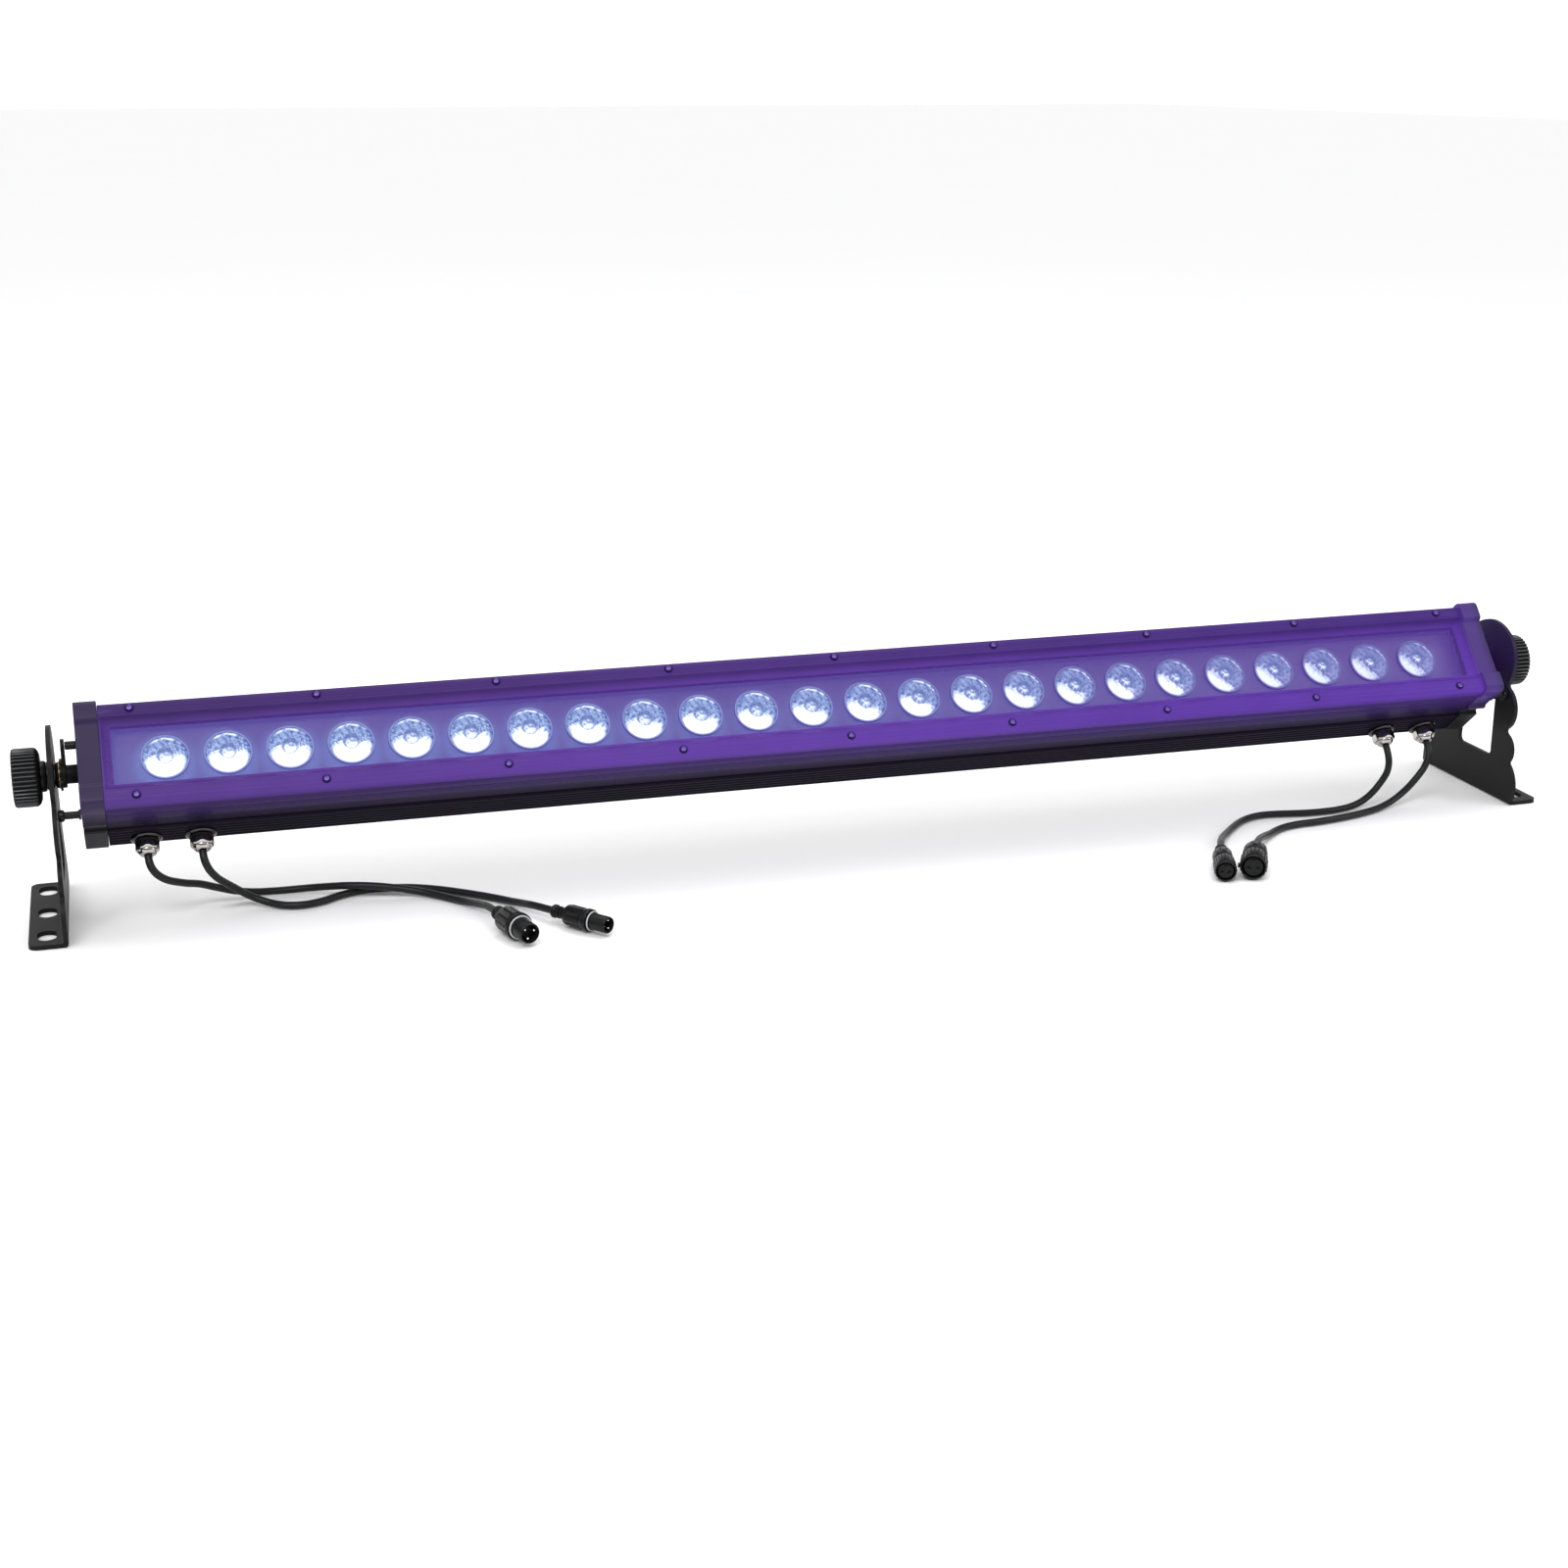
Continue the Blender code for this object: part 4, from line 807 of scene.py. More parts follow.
def tail_profile(scale):
    """The ribbed strain relief and the grip, from the lead's side to the grip's shoulder."""
    profile = [(0.0, -0.2), (2.9, -0.2), (3.4, 0.2)]
    swell = 4.9 * (0.6 + 0.4 * scale)
    profile += [(swell - 0.5, 0.6), (swell, 1.4), (swell, 3.0), (swell - 0.6, 4.0), (swell - 1.3, 4.3)]
    profile += [(swell - 1.3, 5.0), (swell - 0.5, 5.3), (swell - 0.4, 6.9), (swell - 1.3, 7.2)]
    profile += [(swell - 1.3, 8.0), (swell - 0.6, 8.3), (swell - 0.5, 10.0), (swell - 1.2, 10.4)]
    grip = GRIP_RADIUS * scale
    profile += [(swell - 1.2, 12.0), (grip - 1.4, 12.4), (grip - 0.5, 12.9), (grip, 13.8)]
    return profile


def grip_ribs(bm, radius, low, high, count, height, width, place):
    """Low ribs that run along a round grip."""
    for index in range(count):
        turn = Matrix.Rotation(math.tau * index / count, 4, "Z")
        section = [(radius - 0.4, -width / 2), (radius + height, -width / 4), (radius + height, width / 4),
                   (radius - 0.4, width / 2)]
        prism(bm, section, low, high, place @ turn)


def contact_spots(ring, start=90):
    angles = [math.radians(start + 120 * step) for step in range(3)]
    return [(ring * math.cos(a), ring * math.sin(a)) for a in angles]


def make_plug(lead):
    """A moulded plug: its barrel stands round three pins, with a white sealing ring behind the mouth."""
    scale = CONNECTOR_SIZES[lead]
    place = connector_frame(lead)
    barrel = 6.9 * scale
    ring = 3.9 * scale
    pin_radius = 1.05 * scale
    length = CONNECTOR_LENGTH
    profile = tail_profile(scale)
    profile += [(GRIP_RADIUS * scale, 27.8), (8.7 * scale, 28.4), (8.9 * scale, 29.0), (9.3 * scale, 29.5)]
    profile += [(9.3 * scale, 32.4), (9.0 * scale, 32.9), (barrel + 0.3, 33.0), (barrel, 33.3)]
    profile += [(barrel, length - 0.9), (barrel - 0.25, length - 0.3), (barrel - 0.6, length)]
    profile += [(barrel - 0.85, length - 0.15), (barrel - 1.0, length - 0.6), (barrel - 1.0, 39.2), (0.0, 39.2)]
    bm = bmesh.new()
    lathe(bm, profile, 56)
    grip_ribs(bm, GRIP_RADIUS * scale, 15.8, 26.6, 10, 0.25, 2.6, UPRIGHT)
    body = piece(f"{lead}_plug_shell", mesh_from(bm, "plug_shell"), "connector", "head", place,
                 [f"{lead}_plug_body"])
    bm = bmesh.new()
    face = [(0.0, 38.9), (barrel - 1.25, 38.9), (barrel - 1.25, 40.2), (barrel - 1.6, 40.5), (0.0, 40.5)]
    lathe(bm, face, 40)
    for x, y in contact_spots(ring, PIN_TURNS[lead]):
        collar = [(scale, 40.0), (1.5 * scale, 40.0), (1.5 * scale, 40.9), (1.3 * scale, 41.1), (scale, 41.1)]
        lathe(bm, collar, 20, at(x, y, 0))
    block = piece(f"{lead}_contact_block", mesh_from(bm, "contact_block"), "contact_block", "head", place)
    bm = bmesh.new()
    for x, y in contact_spots(ring, PIN_TURNS[lead]):
        pin = [(0.0, 38.8), (pin_radius, 38.8), (pin_radius, 45.4), (pin_radius - 0.15, 46.0)]
        pin += [(pin_radius - 0.5, 46.45), (0.0, 46.6)]
        lathe(bm, pin, 20, at(x, y, 0))
    pins = piece(f"{lead}_pins", mesh_from(bm, "pins"), "pin", "head", place)
    thickness = 0.6 * scale
    centre = barrel + 0.15 + thickness
    angles = [math.tau * step / 16 for step in range(16)]
    section = [(centre + thickness * math.cos(a), 34.3 + thickness * math.sin(a)) for a in angles]
    seal = piece(f"{lead}_seal", turned("seal", section, 56), "seal", "head", place,
                 [f"{lead}_plug_seal"])
    return [body, block, pins, seal]


def make_socket(lead):
    """A moulded socket: a nose with three sockets, inside a ribbed locking ring that spins on it."""
    scale = CONNECTOR_SIZES[lead]
    place = connector_frame(lead)
    nose = 6.7 * scale
    neck = 6.3 * scale
    tip = CONNECTOR_LENGTH - 1.2
    profile = tail_profile(scale)
    profile += [(GRIP_RADIUS * scale, 27.2), (8.0 * scale, 28.0), (neck, 28.9), (neck, 34.6), (nose, 35.2)]
    profile += [(nose, tip - 0.6), (nose - 0.2, tip - 0.15), (nose - 0.6, tip), (0.0, tip)]
    bm = bmesh.new()
    lathe(bm, profile, 56)
    grip_ribs(bm, GRIP_RADIUS * scale, 15.8, 26.2, 10, 0.25, 2.6, UPRIGHT)
    shell = mesh_from(bm, "socket_shell")
    bm = bmesh.new()
    for x, y in contact_spots(3.9 * scale):
        hole = [(0.0, tip - 8), (1.25 * scale, tip - 8), (1.25 * scale, tip - 0.5)]
        hole += [(1.6 * scale, tip + 0.2), (1.6 * scale, tip + 2), (0.0, tip + 2)]
        lathe(bm, hole, 20, at(x, y, 0))
    shell = combined(shell, mesh_from(bm, "holes"))
    body = piece(f"{lead}_socket_shell", shell, "connector", "head", place,
                 [f"{lead}_socket_body"])
    bm = bmesh.new()
    for x, y in contact_spots(3.9 * scale):
        tube = [(0.6, tip - 7), (1.05 * scale, tip - 7), (1.05 * scale, tip - 2.4), (0.7, tip - 2.4)]
        lathe(bm, tube, 20, at(x, y, 0))
    sleeves = piece(f"{lead}_sleeves", mesh_from(bm, "sleeves"), "copper", "head",
                    place)
    outer = 9.2 * scale
    bore = 7.7 * scale
    mouth = CONNECTOR_LENGTH
    ring = [(neck + 0.3, 29.3), (outer - 1.2, 29.3), (outer - 0.3, 29.8), (outer, 30.6), (outer, mouth - 1.4)]
    ring += [(outer - 0.2, mouth - 0.5), (outer - 0.7, mouth), (bore + 0.5, mouth), (bore, mouth - 0.6)]
    ring += [(bore, 34.4), (neck + 0.3, 33.8)]
    bm = bmesh.new()
    lathe(bm, ring, 64)
    grip_ribs(bm, outer, 31.0, mouth - 2.2, 20, 0.4 * scale, 1.6 * scale, UPRIGHT)
    if lead == "power_out":
        lug = [(outer - 0.5, -1.3), (outer + 1.6, -1.0), (outer + 1.6, 1.0), (outer - 0.5, 1.3)]
        prism(bm, lug, mouth - 5.0, mouth - 1.2, LUG_TURN)
    ring = piece(f"{lead}_grip_ring", mesh_from(bm, "grip_ring"), "connector", f"{lead}_ring", place,
                 [f"{lead}_locking_ring"])
    return [body, sleeves, ring]


# The head


def housing_outline():
    """Half of the extrusion's section, from the channel behind the window round the finned side to the back."""
    ledge_z = GLASS[0].z - 1.8
    flange_z = BEZEL[0].z + 2.4
    half = [(20.9, LENSES[0].z - 5.0), (20.9, ledge_z), (25.0, ledge_z), (25.0, flange_z), (33.3, flange_z)]
    half += [(33.3, BEZEL[0].z - GAP), (SIDE_Y - 0.3, BEZEL[0].z - GAP), (SIDE_Y, BEZEL[0].z - GAP - 0.4)]
    half += [(SIDE_Y, 9.0), (SIDE_Y - 0.3, 8.6), (SIDE_Y - 0.7, 8.5), (SIDE_Y - 0.7, 8.1), (SIDE_Y - 0.2, 7.9)]
    half += [(SIDE_Y - 0.1, 7.5), (SIDE_Y - 0.1, 6.9), (SIDE_Y - 0.3, 6.5), (SIDE_Y - 0.8, 6.2)]
    half += [(SIDE_Y - 0.8, -3.6), (SIDE_Y - 1.1, -4.4), (SIDE_Y - 1.7, -4.9), (SIDE_Y - 1.7, -14.6)]
    pitch, depth = 4.0, 2.6
    for index in range(6):
        top = -15.6 - pitch * index
        half += [(SIDE_Y - depth, top), (SIDE_Y - depth, top - 1.8), (SIDE_Y - 0.35, top - 2.0)]
        half += [(SIDE_Y, top - 2.3), (SIDE_Y, top - 3.6), (SIDE_Y - 0.35, top - 3.95)]
    half.pop()
    half += [(SIDE_Y, BACK_Z + 1.9), (SIDE_Y - 0.5, BACK_Z + 0.7), (SIDE_Y - 1.8, BACK_Z)]
    for index in range(6):
        near = SIDE_Y - 4.5 - 5.4 * index
        half += [(near, BACK_Z), (near - 0.2, BACK_Z + 3.4), (near - 2.2, BACK_Z + 3.4), (near - 2.4, BACK_Z)]
    return half


def make_housing():
    shell = extruded("housing_shell", mirrored(housing_outline()), -BAR_HALF, BAR_HALF, END_ON)
    inner = [(-30.0, -35.0), (30.0, -35.0), (30.0, -5.0), (-30.0, -5.0)]
    shell = combined(shell, extruded("tunnel", inner, -BAR_HALF - 5, BAR_HALF + 5, END_ON))
    piece("finned_housing", shell, "housing", "head", HEAD, ["housing_extrusion"])


def make_bezel():
    """The window frame: rolled outer edges, and a slope down to the glass on all four sides."""
    reach = BAR_HALF + 0.1
    edge = FACE_Z - 3.6
    half = [(25.4, GLASS[1].z + GAP), (25.4, 24.6), (33.6, 24.6), (33.6, BEZEL[0].z)]
    half += [(SIDE_Y - 0.25, BEZEL[0].z), (SIDE_Y, BEZEL[0].z + 0.3), (SIDE_Y, edge)]
    half += arc_through((SIDE_Y, edge), (SIDE_Y - 1.05, FACE_Z - 1.05), (SIDE_Y - 3.6, FACE_Z), 10)
    half += [(27.5, FACE_Z), (27.1, FACE_Z - 0.25), (26.7, FACE_Z)]
    frame_mesh = extruded("bezel_shell", mirrored(half), -reach, reach, END_ON)
    window = (493.3, 20.7)
    foot_z, low_z = 22.8, GLASS[1].z
    slope = (498.5, 25.8)
    levels = [(window, low_z - 3), (window, foot_z), ((window[0] + 0.9, window[1] + 0.9), foot_z)]
    levels += [(slope, FACE_Z - 0.5), ((slope[0] + 0.2, slope[1] + 0.2), FACE_Z), (slope, FACE_Z + 3)]
    loops = []
    for (half_x, half_y), z in levels:
        corners = [(-half_x, -half_y), (half_x, -half_y), (half_x, half_y), (-half_x, half_y)]
        loops.append([Vector((x, y, z)) * MM for x, y in corners])
    bm = bmesh.new()
    stack(bm, loops)
    for x, y in screw_spots():
        well = [(0.0, FACE_Z - 0.55), (3.3, FACE_Z - 0.55), (3.7, FACE_Z - 0.1), (3.7, FACE_Z + 2)]
        well += [(0.0, FACE_Z + 2)]
        lathe(bm, well, 32, at(x, y, 0))
    frame_mesh = combined(frame_mesh, mesh_from(bm, "bezel_window"))
    piece("window_frame", frame_mesh, "bezel", "head", HEAD, ["bezel_frame"])


def screw_spots():
    """Each bezel screw's place on the face, read from its CAD node."""
    spots = []
    for row in ("top", "bottom"):
        for index in range(9):
            low, high = extent(f"{row}_bezel_screw_{index + 1}", HEAD)
            spots.append(((low.x + high.x) / 2, (low.y + high.y) / 2))
    return spots


def screw_mesh(head_radius, head_height):
    """A low domed head with a six-lobed recess, its underside at zero."""
    dome = [(0.0, -1.2), (1.5, -1.2), (1.5, 0.0), (head_radius, 0.0), (head_radius, head_height * 0.28)]
    for step in range(1, 7):
        angle = math.radians(90 * step / 6)
        dome.append((head_radius * math.cos(angle) if step < 6 else 0.0,
                     head_height * (0.28 + 0.72 * math.sin(angle))))
    mesh = turned("screw", dome, 32)
    outline = []
    for index in range(36):
        angle = math.tau * index / 36
        lobe = head_radius * (0.47 + 0.06 * math.cos(6 * angle))
        outline.append((lobe * math.cos(angle), lobe * math.sin(angle)))
    return combined(mesh, extruded("recess", outline, head_height * 0.3, head_height + 1))


def make_bezel_screws():
    mesh = screw_mesh(2.9, 1.75)
    names = [f"{row}_bezel_screw_{index + 1}" for row in ("top", "bottom") for index in range(9)]
    for name, (x, y) in zip(names, screw_spots()):
        place = HEAD @ at(x, y, FACE_Z - 0.5)
        piece(name.replace("bezel", "frame"), mesh, "face_screw", "head", place, [name])


def make_window():
    """The glass, and what shows behind it: the lit carrier and the row of lenses."""
    low, high = GLASS
    outline = [(low.x, low.y), (high.x, low.y), (high.x, high.y), (low.x, high.y)]
    piece("window_pane", extruded("pane", outline, low.z, high.z), "glass", "head", HEAD, ["window_glass"],
          bevel=0.5)
    top = LENSES[1].z
    plate_z = top - 3.0
    side = 20.6
    wall_top = low.z - 0.3
    section = [(-side, plate_z - 1.5), (side, plate_z - 1.5), (side, wall_top), (side - 0.5, wall_top)]
    section += arc_through((side - 0.5, plate_z + 2.6), (side - 1.0, plate_z + 0.6), (side - 2.6, plate_z), 6)
    section += [(2.6 - side, plate_z)]
    section += arc_through(section[-1], (1.0 - side, plate_z + 0.6), (0.5 - side, plate_z + 2.6), 6)
    section += [(0.5 - side, wall_top), (-side, wall_top)]
    reach = 494.5
    tray = extruded("carrier", section, -reach, reach, END_ON)
    for end in (-1, 1):
        wall = [(-side, plate_z - 1.5), (side, plate_z - 1.5), (side, wall_top), (-side, wall_top)]
        near, far = sorted((end * (reach - 0.8), end * (reach + 0.4)))
        tray = combined(tray, extruded("carrier_wall", wall, near, far, END_ON), "UNION")
    piece("lens_carrier", tray, "carrier", "head", HEAD)
    r = LENS_RADIUS
    profile = [(0.0, plate_z - 1.2), (r, plate_z - 1.2), (r, top - 1.4), (r - 0.25, top - 1.0)]
    profile += [(r - 0.9, top - 1.0), (r - 1.2, top - 1.3), (r - 1.6, top - 1.3)]
    dome_foot, dome_rise, eye = r - 1.6, 1.3, 0.32 * r
    for step in range(1, 8):
        radius = dome_foot + (eye - dome_foot) * step / 7
        rise = 1 - ((radius - eye) / (dome_foot - eye)) ** 2
        profile.append((radius, top - 1.3 + dome_rise * rise))
    profile += [(eye - 0.3, top - 0.4), (eye - 0.5, top - 1.5), (eye - 1.1, top - 1.5), (eye * 0.5, top - 0.8)]
    profile += [(0.0, top - 0.5)]
    first = -LENS_PITCH * (LENS_COUNT - 1) / 2
    bm = bmesh.new()
    for index in range(LENS_COUNT):
        lathe(bm, profile, 48, at(first + LENS_PITCH * index, 0, 0))
    piece("lens_row", mesh_from(bm, "lenses"), "lens", "head", HEAD, ["lens_array"])


def cap_outline():
    """Two rolls stand proud of the window's sides, and the flanks step back towards the fins."""
    half = [(0.0, FACE_Z), (20.2, FACE_Z)]
    half += arc_through((20.2, FACE_Z), (21.7, 28.5), (22.6, 29.8), 5)
    half += arc_through((22.6, 29.8), (23.4, 30.9), (24.8, 31.4), 5)
    half += [(33.0, 31.4)]
    half += arc_through((33.0, 31.4), (36.6, 29.9), (38.1, 26.3), 10)
    half += [(38.1, 18.4)]
    half += arc_through((38.1, 18.4), (37.7, 17.4), (36.9, 16.6), 4)
    half += [(36.7, 15.6), (36.7, 1.8)]
    half += arc_through((36.7, 1.8), (37.1, 0.8), (38.1, 0.2), 4)
    half += [(38.1, -1.0)]
    half += arc_through((38.1, -1.0), (36.6, -4.4), (33.6, -5.6), 8)
    half += [(33.4, -6.4), (33.4, -11.4)]
    half += arc_through((33.4, -11.4), (34.6, -12.6), (36.4, -13.0), 4)
    half += [(37.3, -13.9), (37.3, -37.5)]
    half += arc_through((37.3, -37.5), (36.0, -41.0), (32.6, -42.4), 8)
    return [(y, z) for y, z in mirrored(half)[1:-1]] + [(0.0, FACE_Z)]


def make_end_cap(name, side):
    """The cap, with a bore for the pivot and four screws sunk in round wells on its outer face."""
    near, far = sorted((side * (BAR_HALF + GAP), side * CAP[1].x))
    shell = extruded("cap_shell", cap_outline(), near, far, END_ON)
    bm = bmesh.new()
    outward = along_x(side)
    bore = rod(STUD_HOLE, BAR_HALF + 3, CAP[1].x + 5)
    lathe(bm, bore, 32, outward)
    spots = [(-28.0, 22.5), (28.0, 22.5), (-28.0, -31.0), (28.0, -31.0)]
    for y, z in spots:
        well = rod(4.2, CAP[1].x - 2.6, CAP[1].x + 3)
        lathe(bm, well, 28, at(0, y, z) @ outward)
    shell = combined(shell, mesh_from(bm, "cap_holes"))
    piece(f"{name}_cap_shell", shell, "cap", "head", HEAD, [f"{name}_end_cap"],
          bevel=0.9, segments=3)
    mesh = screw_mesh(3.2, 1.9)
    for index, (y, z) in enumerate(spots):
        place = at(0, y, z) @ outward
        place = HEAD @ place @ at(0, 0, CAP[1].x - 2.5)
        piece(f"{name}_cap_screw_{index + 1}", mesh, "black_steel", "head", place)


def make_pivot_fittings(name, side):
    """The spacer hub and its stayed arm, the toothed disc that the bracket beds on, and the guide stud."""
    outward = along_x(side)
    low, high = extent(f"{name}_pivot_arm", HEAD)
    start, end = sorted((abs(low.x), abs(high.x)))
    plate = (522.5, 524.9)
    profile = [(STUD_HOLE, start), (5.9, start), (6.2, start + 0.4), (6.2, plate[0]), (8.2, plate[0])]
    profile += [(8.6, plate[0] + 0.4), (8.6, end - 1.6), (8.0, end - 0.9), (7.4, end), (STUD_HOLE, end)]
    hub = turned("hub", profile, 48, outward)
    spot = Vector((15.0, 12.0))
    reach = spot.length
    turn = Matrix.Rotation(math.atan2(spot.y, spot.x), 4, "X")
    arm = [(5.5, -5.8), (reach, -4.6)]
    arm += arc_through((reach, -4.6), (reach + 4.6, 0.0), (reach, 4.6), 12)
    arm += [(5.5, 5.8)]
    hub = combined(hub, extruded("arm", arm, *sorted(side * x for x in plate), turn @ END_ON), "UNION")
    piece(f"{name}_pivot_spacer", hub, "powder", "head", HEAD,
          [f"{name}_pivot_arm"], bevel=0.3)
    teeth = []
    for index in range(72):
        radius = 10.6 if index % 4 < 2 else 9.6
        teeth.append((radius * math.cos(math.tau * index / 72), radius * math.sin(math.tau * index / 72)))
    disc = (plate[1] + 0.3, plate[1] + 1.7)
    disc_mesh = extruded("disc", teeth, disc[0], disc[1], outward)
    hole = turned("disc_hole", rod(DISC_BORE, disc[0] - 2, disc[1] + 2), 48, outward)
    disc_mesh = combined(disc_mesh, hole)
    piece(f"{name}_toothed_disc", disc_mesh, "black_steel", "head", HEAD)
    bush = rod(9.1, disc[1] + 0.1, disc[1] + 0.6, DISC_BORE)
    piece(f"{name}_bush", turned("bush", bush, 48, outward), "brass", "head", HEAD)
    rest = at(0, spot.x, spot.y) @ outward
    low, high = extent(f"{name}_standoff", HEAD)
    start, end = sorted((abs(low.x), abs(high.x)))
    profile = [(0.0, start), (2.4, start), (2.8, start + 0.4), (2.8, end - 0.4), (2.4, end), (0.0, end)]
    piece(f"{name}_spacer_post", turned("post", profile, 32, rest), "black_steel", "head", HEAD,
          [f"{name}_standoff"])
    low, high = extent(f"{name}_guide_stud", HEAD)
    middle = (low + high) / 2
    rest = at(0, middle.y, middle.z) @ outward
    start, end = sorted((abs(low.x), abs(high.x)))
    profile = [(0.0, start), (3.4, start), (3.4, start + 1.2), (2.5, start + 1.6), (2.5, end - 4.2)]
    profile += [(3.2, end - 4.0), (3.9, end - 3.2), (3.9, end - 1.0), (3.5, end - 0.3), (2.6, end), (0.0, end)]
    piece(f"{name}_guide_pin", turned("guide", profile, 32, rest), "stud_plastic", "head", HEAD,
          [f"{name}_guide_stud"])


# The brackets and knobs


def bracket_outline():
    """The upright plate as (y, z): a scalloped front edge, a round head and a sloped back."""
    points = [(FOOT_FRONT, 0.0), (-61.2, 4.0)]
    points += arc_through(points[-1], (-62.9, 17.0), (-55.3, 30.2), 14)
    points += arc_through(points[-1], (-53.9, 31.8), (-54.6, 33.4), 4)
    points += arc_through(points[-1], (-56.8, 44.2), (-48.2, 53.4), 12)
    points += arc_through(points[-1], (-46.9, 55.2), (-47.8, 57.4), 4)
    points += arc_through(points[-1], (-56.4, 74.0), (-45.6, 88.8), 14)
    points += arc_through(points[-1], (-44.3, 91.4), (-45.2, 93.8), 4)
    points += arc_through(points[-1], (-50.2, 109.0), (-43.6, 126.2), 12)
    points += arc_through(points[-1], (-20.0, 136.2), (6.0, 127.4), 20)
    points += arc_through(points[-1], (18.0, 114.0), (24.5, 96.0), 10)
    points += arc_through(points[-1], (37.0, 53.0), (60.8, 17.0), 14)
    points += arc_through(points[-1], (62.3, 14.0), (FOOT_BACK, 11.0), 4)
    points += [(FOOT_BACK, 0.0)]
    return points


def slot_outline(x, y):
    """A round-ended foot slot, longer from front to back."""
    radius, run, steps = 6.2, 5.6, 12
    spots = []
    for end, first in ((1, 0.0), (-1, math.pi)):
        for step in range(steps + 1):
            angle = first + math.pi * step / steps
            spots.append((x + radius * math.cos(angle), y + end * run / 2 + radius * math.sin(angle)))
    return spots


def make_bracket(name, side):
    """Three millimetre steel: an upright plate with a foot bent outwards along its lower edge."""
    low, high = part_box(f"{name}_bracket")
    inner, outer = sorted((abs(low.x) / MM, abs(high.x) / MM))
    thickness = 3.0
    bend = 2.6
    place = Matrix.Translation(PIVOT)
    inward = place.inverted()
    outline = [(y, max(z, bend + 0.6)) for y, z in bracket_outline()]
    plate_x = sorted((side * inner, side * (inner + thickness)))
    bracket = extruded("plate", outline, plate_x[0], plate_x[1], inward @ END_ON)
    foot = [(inner, bend + 0.8), (inner, bend)]
    foot += arc_through(foot[-1], (inner + 0.76, 0.76), (inner + bend, 0.0), 8)
    foot += [(outer, 0.0), (outer, thickness), (inner + thickness + 1.4, thickness)]
    upright = inner + thickness
    foot += arc_through(foot[-1], (upright + 0.4, thickness + 0.4), (upright, thickness + 1.4), 5)
    hidden = side * (inner - 5)
    plan = [(hidden, FOOT_FRONT, 0.2), (side * outer, FOOT_FRONT, 6.0)]
    plan = rounded(plan + [(side * outer, FOOT_BACK, 6.0), (hidden, FOOT_BACK, 0.2)], 6.0, 8)
    lengthwise = Matrix(((1, 0, 0, 0), (0, 0, 1, 0), (0, 1, 0, 0), (0, 0, 0, 1)))
    foot_mesh = extruded("foot", [(side * x, z) for x, z in foot], FOOT_FRONT, FOOT_BACK, inward @ lengthwise)
    foot_mesh = combined(foot_mesh, extruded("foot_plan", plan, -4.0, 12.0, inward), "INTERSECT")
    bracket = combined(bracket, foot_mesh, "UNION")
    bm = bmesh.new()
    hole = rod(STUD_HOLE, inner - 5, inner + 10)
    lathe(bm, hole, 40, along_x(side))
    window = rounded([(-29.9, 31.6), (15.0, 31.6), (14.2, 46.0), (-18.5, 79.5), (-29.6, 80.5)], 4.2, 8)
    prism(bm, window, plate_x[0] - 5, plate_x[1] + 5, inward @ END_ON)
    for slot_y in SLOT_MIDDLES:
        prism(bm, slot_outline(side * SLOT_X, slot_y), -3.0, 8.0, inward)
    bracket = combined(bracket, mesh_from(bm, "bracket_holes"))
    piece(f"{name}_yoke", bracket, "powder", f"{name}_bracket", place,
          [f"{name}_bracket"], bevel=0.45)


def knob_ring(x, radius, depth, ribs=40, steps=10):
    """One ring of the knob's ribbed side: round-topped ribs with narrow valleys."""
    points = []
    for index in range(ribs * steps):
        angle = math.tau * index / (ribs * steps)
        wave = 0.5 + 0.5 * math.cos(ribs * angle)
        here = radius - depth * (1 - wave ** 1.3)
        points.append(Vector((x, here * math.cos(angle), here * math.sin(angle))) * MM)
    return points


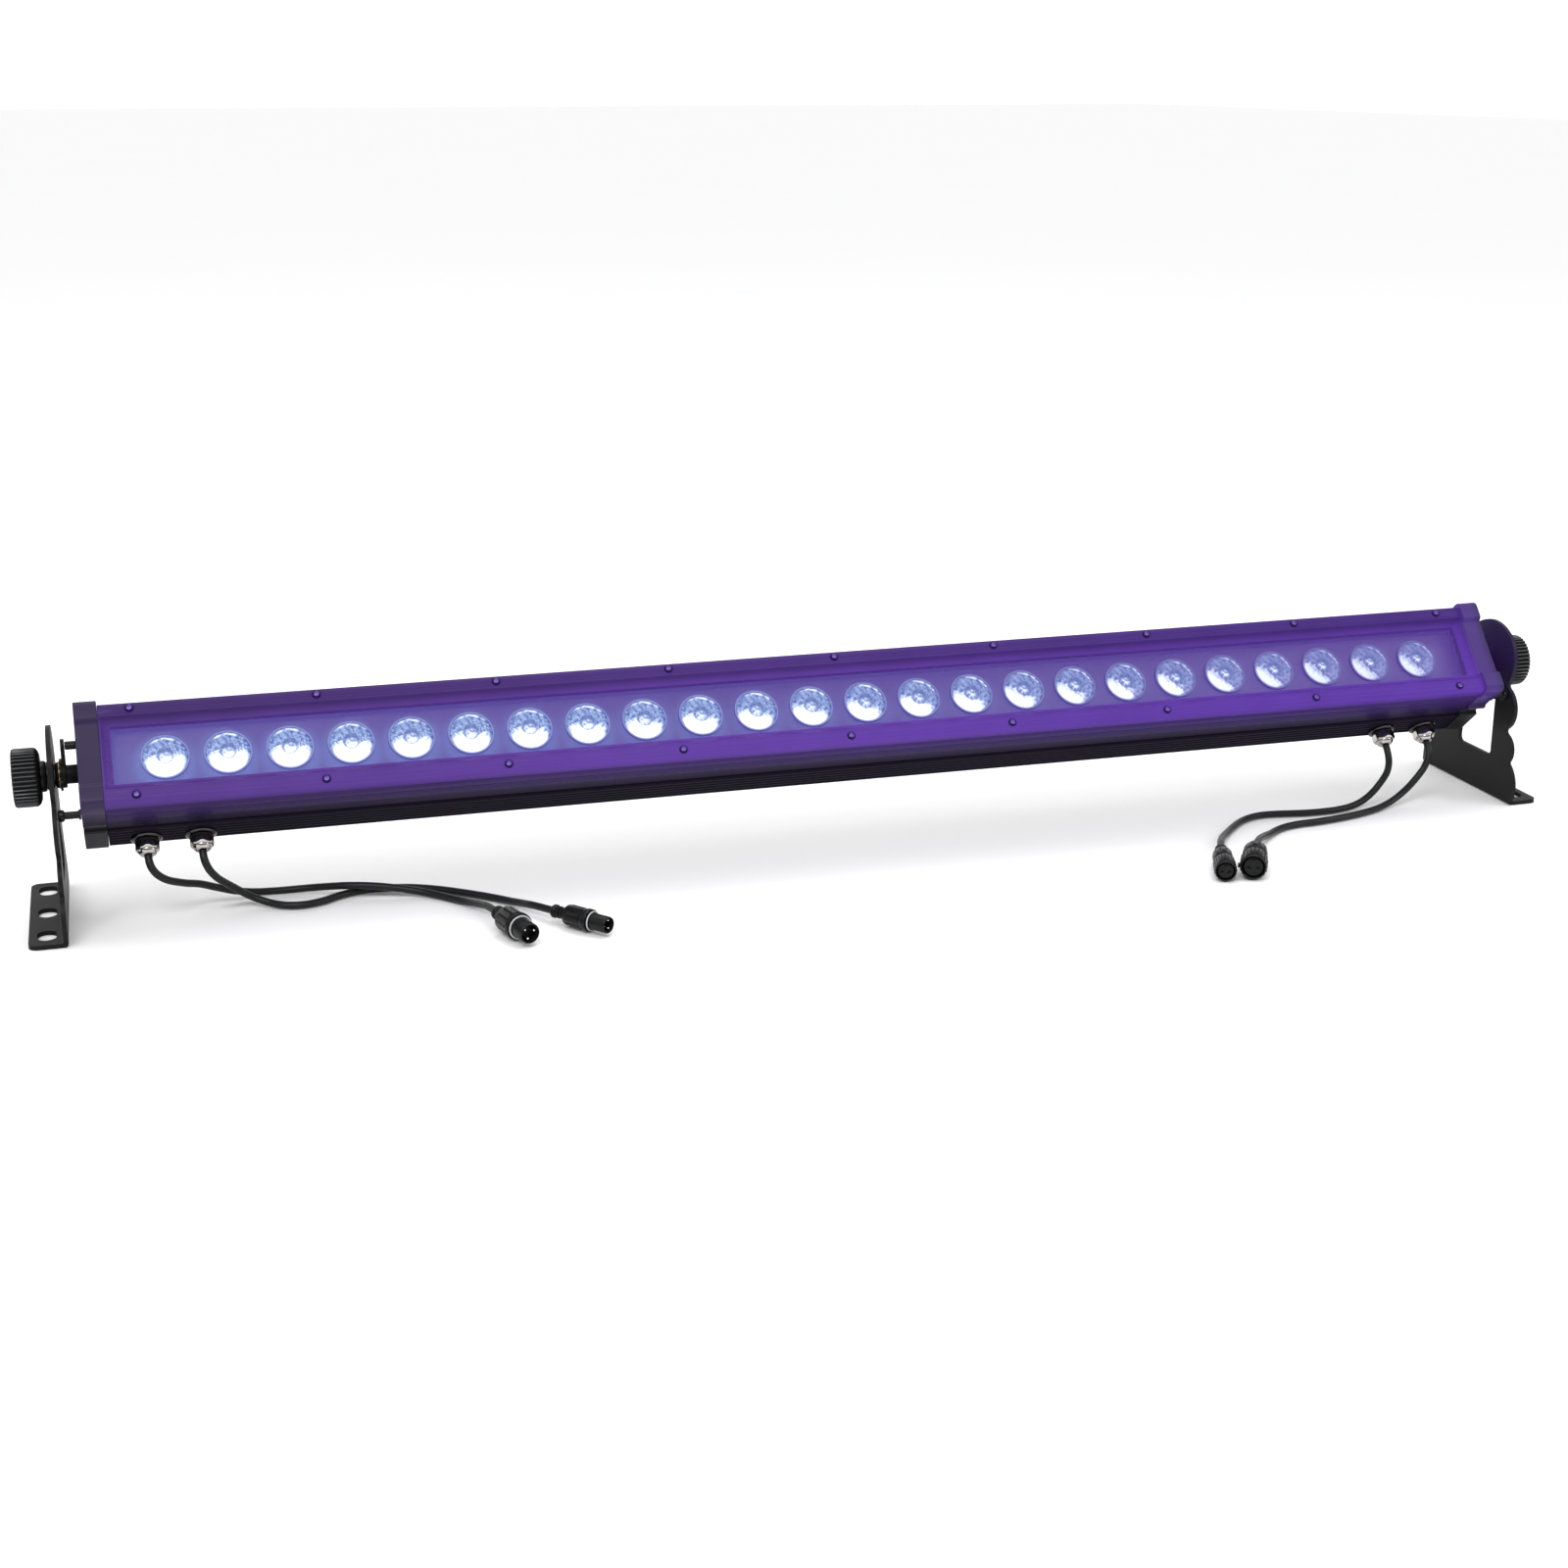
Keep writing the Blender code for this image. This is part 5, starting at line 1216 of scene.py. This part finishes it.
def make_knob(name, side):
    """A ribbed hand knob with a recessed face, a boss towards the bracket and a threaded stud."""
    low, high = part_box(f"{name}_knob")
    outer = max(abs(low.x), abs(high.x)) / MM
    inner = 538.4
    radius = (high.z - low.z) / 2 / MM
    rings = []
    for x, shrink, depth in ((inner, 4.6, 0.1), (inner + 0.5, 3.2, 0.3), (inner + 1.3, 1.6, 0.8),
                             (inner + 2.4, 0.5, 1.5), (inner + 3.6, 0.0, 2.0), (outer - 2.0, 0.0, 2.0),
                             (outer - 1.0, 0.3, 1.7), (outer - 0.3, 1.0, 1.0), (outer, 2.2, 0.3)):
        rings.append(knob_ring(side * x, radius - shrink, depth))
    bm = bmesh.new()
    stack(bm, rings)
    knob = mesh_from(bm, "knob")
    outward = along_x(side)
    face = [(0.0, outer - 0.7), (6.0, outer - 0.9), (10.0, outer - 1.4), (radius - 6.4, outer - 2.0)]
    face += [(radius - 5.2, outer - 1.9), (radius - 4.9, outer + 3), (0.0, outer + 3)]
    knob = combined(knob, turned("knob_face", face, 72, outward))
    boss_start = 535.0
    boss = [(0.0, 531.0), (3.9, 531.0), (3.9, boss_start), (9.0, boss_start), (9.9, boss_start + 0.5)]
    boss += [(10.2, boss_start + 1.4), (10.2, inner + 0.2), (10.8, inner + 1.0), (0.0, inner + 1.0)]
    knob = combined(knob, turned("boss", boss, 60, outward), "UNION")
    place = Matrix.Translation(PIVOT)
    piece(f"{name}_hand_knob", knob, "knob", f"{name}_knob", place, [f"{name}_knob"])
    thread = [(0.0, THREAD_START), (3.0, THREAD_START)]
    for turn in range(20):
        start = THREAD_START + 0.4 + THREAD_PITCH * turn
        thread += [(3.25, start), (3.8, start + 0.45), (3.8, start + 0.7), (3.25, start + 1.15)]
    thread += [(3.25, THREAD_END), (0.0, THREAD_END)]
    piece(f"{name}_stud_thread", turned("thread", thread, 32, outward), "steel", f"{name}_knob", place)
    low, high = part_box(f"{name}_knob_washer")
    start, end = sorted((abs(low.x) / MM, abs(high.x) / MM))
    washer = [(STUD_HOLE, start), (9.3, start), (9.5, start + 0.2), (9.5, end - 0.2), (9.3, end)]
    washer += [(STUD_HOLE, end)]
    piece(f"{name}_washer", turned("washer", washer, 48, outward), "black_steel", f"{name}_knob_travel",
          place, [f"{name}_knob_washer"])


# The glands


def make_gland(lead, x):
    """A flanged nickel body, a rubber ring and a six-sided nut whose dome closes round the lead."""
    low, high = extent(f"{lead}_gland_body", HEAD)
    down = at(x, 0, (low.z + high.z) / 2)
    down = down @ Matrix.Rotation(math.radians(90), 4, "X")
    seat = SIDE_Y + GAP
    tip = -extent(f"{lead}_gland_nut", HEAD)[0].y
    bore = CABLE_RADIUS + 0.1
    flange = [(bore, 27.0), (6.0, 27.0), (6.0, seat), (9.8, seat), (10.2, seat + 0.3), (10.2, seat + 0.9)]
    flange += [(9.6, seat + 1.5), (8.6, seat + 2.0), (6.4, seat + 2.2), (6.4, seat + 3.5), (bore, seat + 3.5)]
    piece(f"{lead}_gland_flange", turned("flange", flange, 56, down), "dark_nickel", "head", HEAD,
          [f"{lead}_gland_body"])
    ring = [(6.5, seat + 2.3), (7.6, seat + 2.3), (7.9, seat + 2.6), (7.9, seat + 3.2), (7.6, seat + 3.5)]
    ring += [(6.5, seat + 3.5)]
    piece(f"{lead}_gland_ring", turned("ring", ring, 48, down), "black_rubber", "head", HEAD)
    nut = turned("nut", rod(9.0, seat + 3.7, seat + 9.3, bore), 6, down, math.radians(30))
    barrel = [(bore, seat + 3.6), (7.6, seat + 3.6), (8.45, seat + 4.3), (8.45, seat + 8.0), (7.2, seat + 9.5)]
    barrel += [(bore, seat + 9.5)]
    nut = combined(nut, turned("nut_round", barrel, 56, down), "INTERSECT")
    dome = [(bore, seat + 6), (6.5, seat + 6), (6.5, seat + 9.8), (6.3, tip - 2.4), (5.8, tip - 1.3)]
    dome += [(5.0, tip - 0.5), (4.0, tip - 0.05), (3.3, tip), (bore, tip - 0.5)]
    nut = combined(nut, turned("dome", dome, 56, down), "UNION")
    piece(f"{lead}_gland_cap", nut, "nickel", "head", HEAD, [f"{lead}_gland_nut"],
          bevel=0.25)


# The inner pieces keep their CAD solids


def finish_inner_nodes():
    finishes = {"led_board": "led_board", "driver_unit": "driver", "control_board": "board",
                "window_gasket": "gasket"}
    for name, finish in finishes.items():
        mesh = frame["nodes"][name].data
        mesh.materials.clear()
        mesh.materials.append(materials[finish])


# The stage


def make_stage():
    bm = bmesh.new()
    corners = [(-14, -10), (14, -10), (14, 30), (-14, 30)]
    bm.faces.new([bm.verts.new((x, y, -0.0002)) for x, y in corners])
    mesh = mesh_from(bm, "floor")
    mesh.materials.append(materials["floor"])
    floor = linked("floor", mesh)


def make_light(name, place, target, size, power):
    data = bpy.data.lights.new(name, "AREA")
    data.shape = "RECTANGLE"
    data.size, data.size_y = size
    data.energy = power
    light = linked(name, data)
    light.location = place
    light.rotation_euler = (Vector(target) - Vector(place)).to_track_quat("-Z", "Y").to_euler()


def make_sky():
    """An even white surround, darker low down in front, so that bright metal has something to mirror."""
    world = bpy.data.worlds.new("studio")
    bpy.context.scene.world = world
    world.use_nodes = True
    tree = world.node_tree
    direction = node(tree, "TexCoord", {}, output="Generated")
    _, y, z = split_up(tree, direction)
    low = fade(tree, z, 0.55, 0.12)
    front = fade(tree, y, 0.1, -0.5)
    shade = times(tree, low, front)
    color = blend_color(tree, shade, (1.0, 1.0, 1.0), (0.16, 0.16, 0.17))
    background = tree.nodes["Background"]
    tree.links.new(color, background.inputs["Color"])
    background.inputs["Strength"].default_value = 1.06


make_camera()
for cord_lead in ROUTES:
    parts = make_plug(cord_lead) if cord_lead.endswith("_in") else make_socket(cord_lead)
    make_cable(cord_lead)
make_housing()
make_bezel()
make_bezel_screws()
make_window()
for end_name, end_side in (("left", -1), ("right", 1)):
    make_end_cap(end_name, end_side)
    make_pivot_fittings(end_name, end_side)
    make_bracket(end_name, end_side)
    make_knob(end_name, end_side)
for gland_lead in ROUTES:
    make_gland(gland_lead, ROUTES[gland_lead][0][0])
finish_inner_nodes()
make_stage()
make_sky()
make_light("key", (-1.2, -1.9, 2.3), (0.0, 0.0, 0.1), (1.6, 1.0), 36.0)
make_light("top", (0.3, 0.5, 2.4), (0.0, 0.0, 0.1), (2.4, 1.2), 22.0)
make_light("side", (2.2, -1.2, 1.3), (0.2, 0.0, 0.1), (0.8, 1.4), 12.0)
bpy.context.scene.view_settings.view_transform = "Standard"
